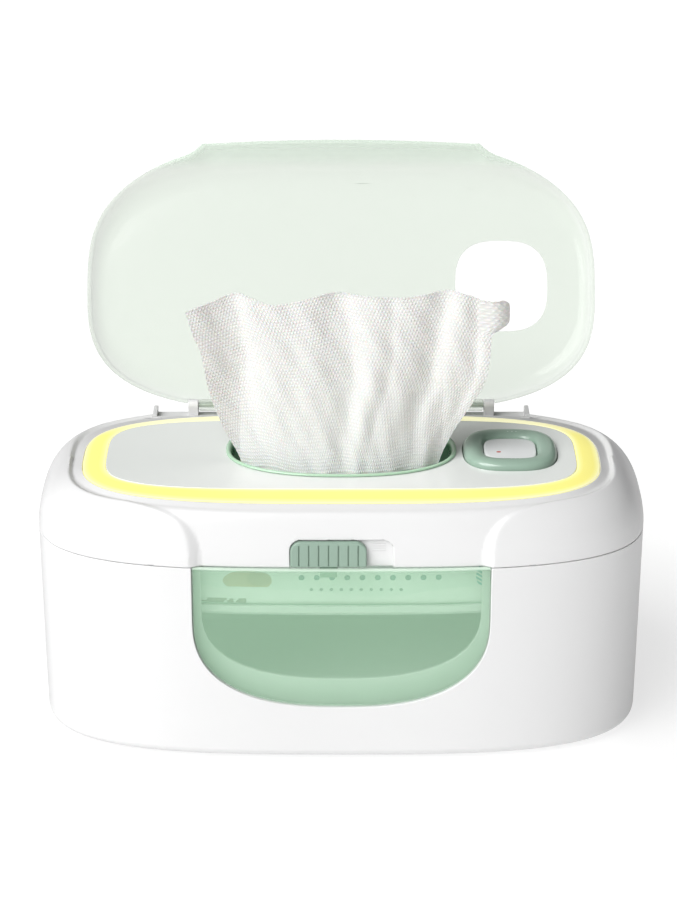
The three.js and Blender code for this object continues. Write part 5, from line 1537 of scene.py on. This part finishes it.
def wipe_point(s, t):
    """Where a point of the flat wipe stands: s across from -1 to 1, t up from 0 to 1."""
    wipe, ring = sizes("wipe"), sizes("ring")
    z = wipe.base / MM + (through(WIPE_TOP, s) - wipe.base / MM) * t
    neck = ring.height / MM
    risen = max(0.0, min(1.0, (z - neck) / (WIPE_HIGH - neck)))
    left, right = through(WIPE_LEFT, z), through(WIPE_RIGHT, z)
    x = left + (right - left) * (s + 1) / 2
    front = WIPE_NECK_Y + WIPE_NECK_BOW * min(1.0, x * x / WIPE_NECK_HALF ** 2)
    y = front + (WIPE_TOP_Y - front) * risen ** 0.85
    wave = 0.0
    for *places, width, depth in WIPE_FOLDS:
        at = through(tuple(zip((0, 0.35, 0.65, 1), places)), risen)
        side = 1.3 if s < at else 0.75
        wave += depth * math.exp(-((s - at) / (width * side)) ** 2)
    deep = 0.22 + 0.78 * min(1.0, risen * 1.8)
    y += wipe.fold / MM * (deep * (wave - 0.12) + 0.1 * (1 - risen) * (1 + math.sin(19 * s + 1.3)))
    y += 0.35 * math.sin(31 * s + 9 * risen) * math.sin(5 * s + 14 * risen)
    curl = max(0.0, (s - 0.92) / 0.08)
    lobe = math.sqrt(curl) * math.exp(-((z - CORNER_HEIGHT) / CORNER_HALF) ** 6)
    x += CORNER_REACH * lobe
    y += 5 * lobe * curl * curl
    flap = max(0.0, (-0.84 - s) / 0.16) * risen
    y -= 3 * flap
    hem = max(0.0, (t - 0.97) / 0.03)
    z += 0.28 * hem * math.sin(math.tau * s * wipe.flat_width / (2 * wipe.emboss))
    return Vector((x, y, z)) * MM


class WARMER_OT_wipe(bpy.types.Operator):
    """The wipe that stands out of the rim, gathered at its neck"""

    bl_idname = "warmer.wipe"
    bl_label = "Wipe"

    def execute(self, context):
        wipe = sizes("wipe")
        mesh = bmesh.new()
        bmesh.ops.create_grid(mesh, x_segments=280, y_segments=150, size=1)
        flat = mesh.loops.layers.uv.new("flat")
        for face in mesh.faces:
            for loop in face.loops:
                loop[flat].uv = (
                    loop.vert.co.x * wipe.flat_width / 2, (loop.vert.co.y + 1) * wipe.flat_height / 2)
        for v in mesh.verts:
            v.co = wipe_point(v.co.x, (v.co.y + 1) / 2)
        cloth = piece("standing_wipe", mesh)
        smoothed(cloth, 180)
        thick = cloth.modifiers.new("cloth thickness", "SOLIDIFY")
        thick.thickness = wipe.thickness
        thick.offset = 0
        settled(cloth)
        smoothed(cloth, 60)
        dressed(cloth, "embossed_cloth", "wipe_sheet")
        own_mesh(cloth)
        return {"FINISHED"}


class WARMER_OT_wipes_pack(bpy.types.Operator):
    """Soft film pack of wipes lying on the tray"""

    bl_idname = "warmer.wipes_pack"
    bl_label = "Wipes pack"

    def execute(self, context):
        low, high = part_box("wipes_pack")
        half = (high - low) / 2
        middle = (high + low) / 2
        levels = []
        steps = 24
        for i in range(steps + 1):
            go = i / steps
            lean = abs(2 * go - 1)
            pull = 1 - 0.1 * lean ** 3 if go < 0.5 else 1 - 0.36 * lean ** 5
            z = low.z + (high.z - low.z) * (0.5 - 0.5 * math.cos(math.pi * go))
            levels.append(oval_level(half.x * pull, half.y * pull, 3.6, middle.x, middle.y, z))
        skin = Skin(220).raise_through(levels)
        lid = bmesh.ops.contextual_create(skin.mesh, geom=skin.edges)["faces"]
        foot = bmesh.ops.contextual_create(skin.mesh, geom=skin.first)["faces"]
        for face in (lid[0], foot[0]):
            for inset in (8, 10, 12):
                bmesh.ops.inset_region(skin.mesh, faces=[face], thickness=inset * MM, depth=0.0)
        pack = piece("film_pack", skin.mesh)
        smoothed(pack, 70)
        dressed(pack, "printed_film", "wipes_pack")
        return {"FINISHED"}


class WARMER_OT_springs(bpy.types.Operator):
    """Coil springs under the tray"""

    bl_idname = "warmer.springs"
    bl_label = "Tray springs"

    def execute(self, context):
        for side in ("left", "right"):
            node = f"tray_spring_{side}"
            low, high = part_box(node)
            wire = 0.7 * MM
            radius = (high.x - low.x) / 2 - wire
            turns, steps = 6, 32
            middle = (low + high) / 2
            mesh = bmesh.new()
            made = bmesh.ops.create_circle(mesh, segments=10, radius=wire, cap_ends=True)
            upright = Matrix.Rotation(math.pi / 2, 3, "X")
            bmesh.ops.rotate(mesh, verts=made["verts"], cent=(0, 0, 0), matrix=upright)
            bmesh.ops.translate(mesh, verts=made["verts"], vec=(middle.x + radius, middle.y, low.z + wire))
            climb = (high.z - low.z - 2 * wire) / (turns * steps)
            bmesh.ops.spin(
                mesh, geom=list(mesh.faces), cent=(middle.x, middle.y, 0), axis=(0, 0, 1), dvec=(0, 0, climb),
                angle=math.tau * turns, steps=turns * steps)
            spring = smoothed(piece(f"coil_{side}", mesh), 50)
            dressed(spring, "spring_steel", node)
            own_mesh(spring)
        return {"FINISHED"}


# Inner pieces that keep their packed form: finish, softened edge in mm and slot
INNER_PIECES = {
    "inner_tub": ("white_inner", 0.3, "white_plastic"),
    "base_plate": ("white_inner", 0.3, "white_plastic"),
    "latch_keeper": ("pin_steel", 0.08, "steel"),
    "lift_tray": ("white_inner", 0.3, "white_plastic"),
    "lid_liner": ("white_inner", 0.25, "white_plastic"),
    "seal_carrier": ("white_inner", 0.2, "white_plastic"),
    "heater_mat": ("heater_film", 0.1, None),
    "heater_plate": ("rolled_aluminium", 0.15, "aluminium"),
    "thermostat": ("black_moulding", 0.2, "black_plastic"),
    "thermal_fuse": ("fuse_sleeve", 0.2, None),
    "lid_seal": ("soft_silicone", 0.2, "silicone"),
    "return_pad": ("soft_silicone", 0.1, "silicone"),
    "power_inlet": ("black_moulding", 0.15, "black_plastic"),
    "switch_front": ("black_moulding", 0.1, "black_plastic"),
    "switch_rear": ("black_moulding", 0.1, "black_plastic"),
    "led_board": ("circuit_board", 0.08, "board"),
    "control_board": ("circuit_board", 0.08, "board"),
}


def softened_copy(node, finish, width, crease=34):
    """A merged, edge-softened copy of a packed node, which it stands for."""
    mesh = bmesh.new()
    mesh.from_mesh(frame["nodes"][node].data)
    bmesh.ops.remove_doubles(mesh, verts=mesh.verts, dist=0.002 * MM)
    bmesh.ops.dissolve_limit(
        mesh, angle_limit=math.radians(0.5), verts=mesh.verts, edges=mesh.edges, delimit=set())
    made = rounded(placed("soft_" + node, mesh), width * MM, 2, crease)
    return dressed(made, finish, node)


class WARMER_OT_inner_pieces(bpy.types.Operator):
    """Tub, tray, liner, heater, boards and the other inner pieces"""

    bl_idname = "warmer.inner_pieces"
    bl_label = "Inner pieces"

    def execute(self, context):
        for node, (finish, width, slot) in INNER_PIECES.items():
            made = softened_copy(node, finish, width)
            if node == "return_pad":
                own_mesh(made)
        return {"FINISHED"}


class WARMER_OT_fasteners(bpy.types.Operator):
    """Feet, screws and hinge pins"""

    bl_idname = "warmer.fasteners"
    bl_label = "Feet, screws and pins"

    def execute(self, context):
        for node in frame["nodes"]:
            if node.startswith("foot_"):
                self.foot(node)
            elif "_screw_" in node:
                self.screw(node)
            elif "_hinge_pin_" in node:
                self.pin(node)
        return {"FINISHED"}

    def foot(self, node):
        low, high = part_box(node)
        middle = (low + high) / 2
        radius = (high.x - low.x) / 2
        levels = stacked(
            round_level,
            (middle, radius - 2.2 * MM, low.z + 0.4 * MM),
            (middle, radius - 2.6 * MM, low.z),
            (middle, radius - 0.8 * MM, low.z),
            (middle, radius - 0.2 * MM, low.z + 0.25 * MM),
            (middle, radius, low.z + 0.8 * MM),
            (middle, radius, high.z))
        foot = smoothed(turned("pad_" + node, levels, 56), 50)
        dressed(foot, "foot_rubber", node)

    def screw(self, node):
        low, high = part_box(node)
        middle = (low + high) / 2
        head, shank, socket, pitch = 2.4 * MM, 1.3 * MM, 1.05 * MM, 0.8 * MM
        levels = stacked(
            round_level,
            (middle, socket, low.z + 0.6 * MM),
            (middle, socket, low.z + 50 * MM * MM),
            (middle, 1.2 * MM, low.z),
            (middle, head - 0.35 * MM, low.z),
            (middle, head, low.z + 0.3 * MM),
            (middle, head, low.z + 0.7 * MM))
        z = low.z + 0.7 * MM
        while z < high.z - 2 * pitch:
            levels.append(round_level(middle, shank * 0.78, z))
            levels.append(round_level(middle, shank, z + pitch / 2))
            z += pitch
        levels.append(round_level(middle, 0.2 * MM, high.z))
        screw = smoothed(turned("thread_" + node, levels, 24), 40)
        dressed(screw, "pin_steel", node)

    def pin(self, node):
        low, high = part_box(node)
        middle = (low + high) / 2
        radius = (high.z - low.z) / 2
        pin = barrel("round_" + node, radius, (low.x, middle.y, middle.z), (high.x, middle.y, middle.z))
        rounded(pin, 0.2 * MM, 2, 40)
        dressed(pin, "pale_pin" if node.startswith("cover") else "pin_steel", node)


# Stage


# The studio's light from left to right: place and brightness
SKY_STOPS = ((0, 0.1), (0.12, 0.5), (0.3, 0.9), (0.5, 0.55), (0.65, 0.08), (1, 0.0))
FLOOR_HALF = 12
CAMERA_PLACE = (-0.00118, -1.11966, 0.60613)
CAMERA_TILT = 23.557
CAMERA_LENS = 113.69


class WARMER_OT_stage(bpy.types.Operator):
    """Pale floor, soft studio light and the camera"""

    bl_idname = "warmer.stage"
    bl_label = "Stage"

    def execute(self, context):
        scene = context.scene
        mesh = bmesh.new()
        bmesh.ops.create_grid(mesh, x_segments=1, y_segments=1, size=FLOOR_HALF)
        floor = piece("floor", mesh)
        floor.data.materials.append(finish_of("pale_floor"))
        world = bpy.data.worlds.new("studio")
        world.use_nodes = True
        sky = Nodes(world.node_tree)
        place = sky.node("ShaderNodeTexCoord", {}, {})
        parts = sky.node("ShaderNodeSeparateXYZ", {}, {0: place.outputs["Generated"]})
        side = sky.node("ShaderNodeMath", {"operation": "MULTIPLY_ADD"}, {
            0: parts.outputs[0], 1: 0.5, 2: 0.5})
        fade = sky.ramp(side.outputs[0], [(at, (level, level, level)) for at, level in SKY_STOPS])
        background = sky.tree.nodes["Background"]
        sky.tree.links.new(fade, background.inputs["Color"])
        background.inputs["Strength"].default_value = 0.4
        scene.world = world
        sun = bpy.data.lights.new("key", "SUN")
        sun.angle = math.radians(50)
        sun.energy = 3.15
        lamp = bpy.data.objects.new("key", sun)
        lamp.rotation_euler = Vector((0.5, 0.47, -0.7)).to_track_quat("-Z", "Y").to_euler()
        scene.collection.objects.link(lamp)
        scene.view_settings.view_transform = "Standard"
        camera = bpy.data.cameras.new("photo_view")
        camera.lens = CAMERA_LENS
        camera.sensor_width = 36
        view = bpy.data.objects.new("photo_view", camera)
        view.location = CAMERA_PLACE
        view.rotation_euler = (math.radians(90 - CAMERA_TILT), 0, 0)
        scene.collection.objects.link(view)
        scene.camera = view
        return {"FINISHED"}


# Add-on


OPERATORS = (
    WARMER_OT_stage,
    WARMER_OT_lower_shell,
    WARMER_OT_window,
    WARMER_OT_upper_shell,
    WARMER_OT_light_ring,
    WARMER_OT_top_panel,
    WARMER_OT_dispensing_rim,
    WARMER_OT_control,
    WARMER_OT_slider,
    WARMER_OT_dust_cover,
    WARMER_OT_wipe,
    WARMER_OT_wipes_pack,
    WARMER_OT_springs,
    WARMER_OT_inner_pieces,
    WARMER_OT_fasteners,
)


class WARMER_PT_pieces(bpy.types.Panel):
    """Pieces of the wipe warmer"""

    bl_idname = "WARMER_PT_pieces"
    bl_label = "Wipe warmer"
    bl_space_type = "VIEW_3D"
    bl_region_type = "UI"
    bl_category = "Wipe warmer"

    def draw(self, context):
        for operator in OPERATORS:
            self.layout.operator(operator.bl_idname)
        for name, group in GROUPS.items():
            box = self.layout.box()
            box.label(text=group.__doc__)
            for key in group.__annotations__:
                box.prop(getattr(context.scene, name), key)


def register():
    for group in GROUPS.values():
        bpy.utils.register_class(group)
    for name, group in GROUPS.items():
        setattr(bpy.types.Scene, name, bpy.props.PointerProperty(type=group))
    for operator in OPERATORS:
        bpy.utils.register_class(operator)
    bpy.utils.register_class(WARMER_PT_pieces)


def unregister():
    bpy.utils.unregister_class(WARMER_PT_pieces)
    for operator in reversed(OPERATORS):
        bpy.utils.unregister_class(operator)
    for name in GROUPS:
        delattr(bpy.types.Scene, name)
    for group in reversed(list(GROUPS.values())):
        bpy.utils.unregister_class(group)


def main():
    """Builds every piece on the packed frame."""
    register()
    for operator in OPERATORS:
        family, name = operator.bl_idname.split(".")
        getattr(getattr(bpy.ops, family), name)()


if __name__ == "__main__":
    main()
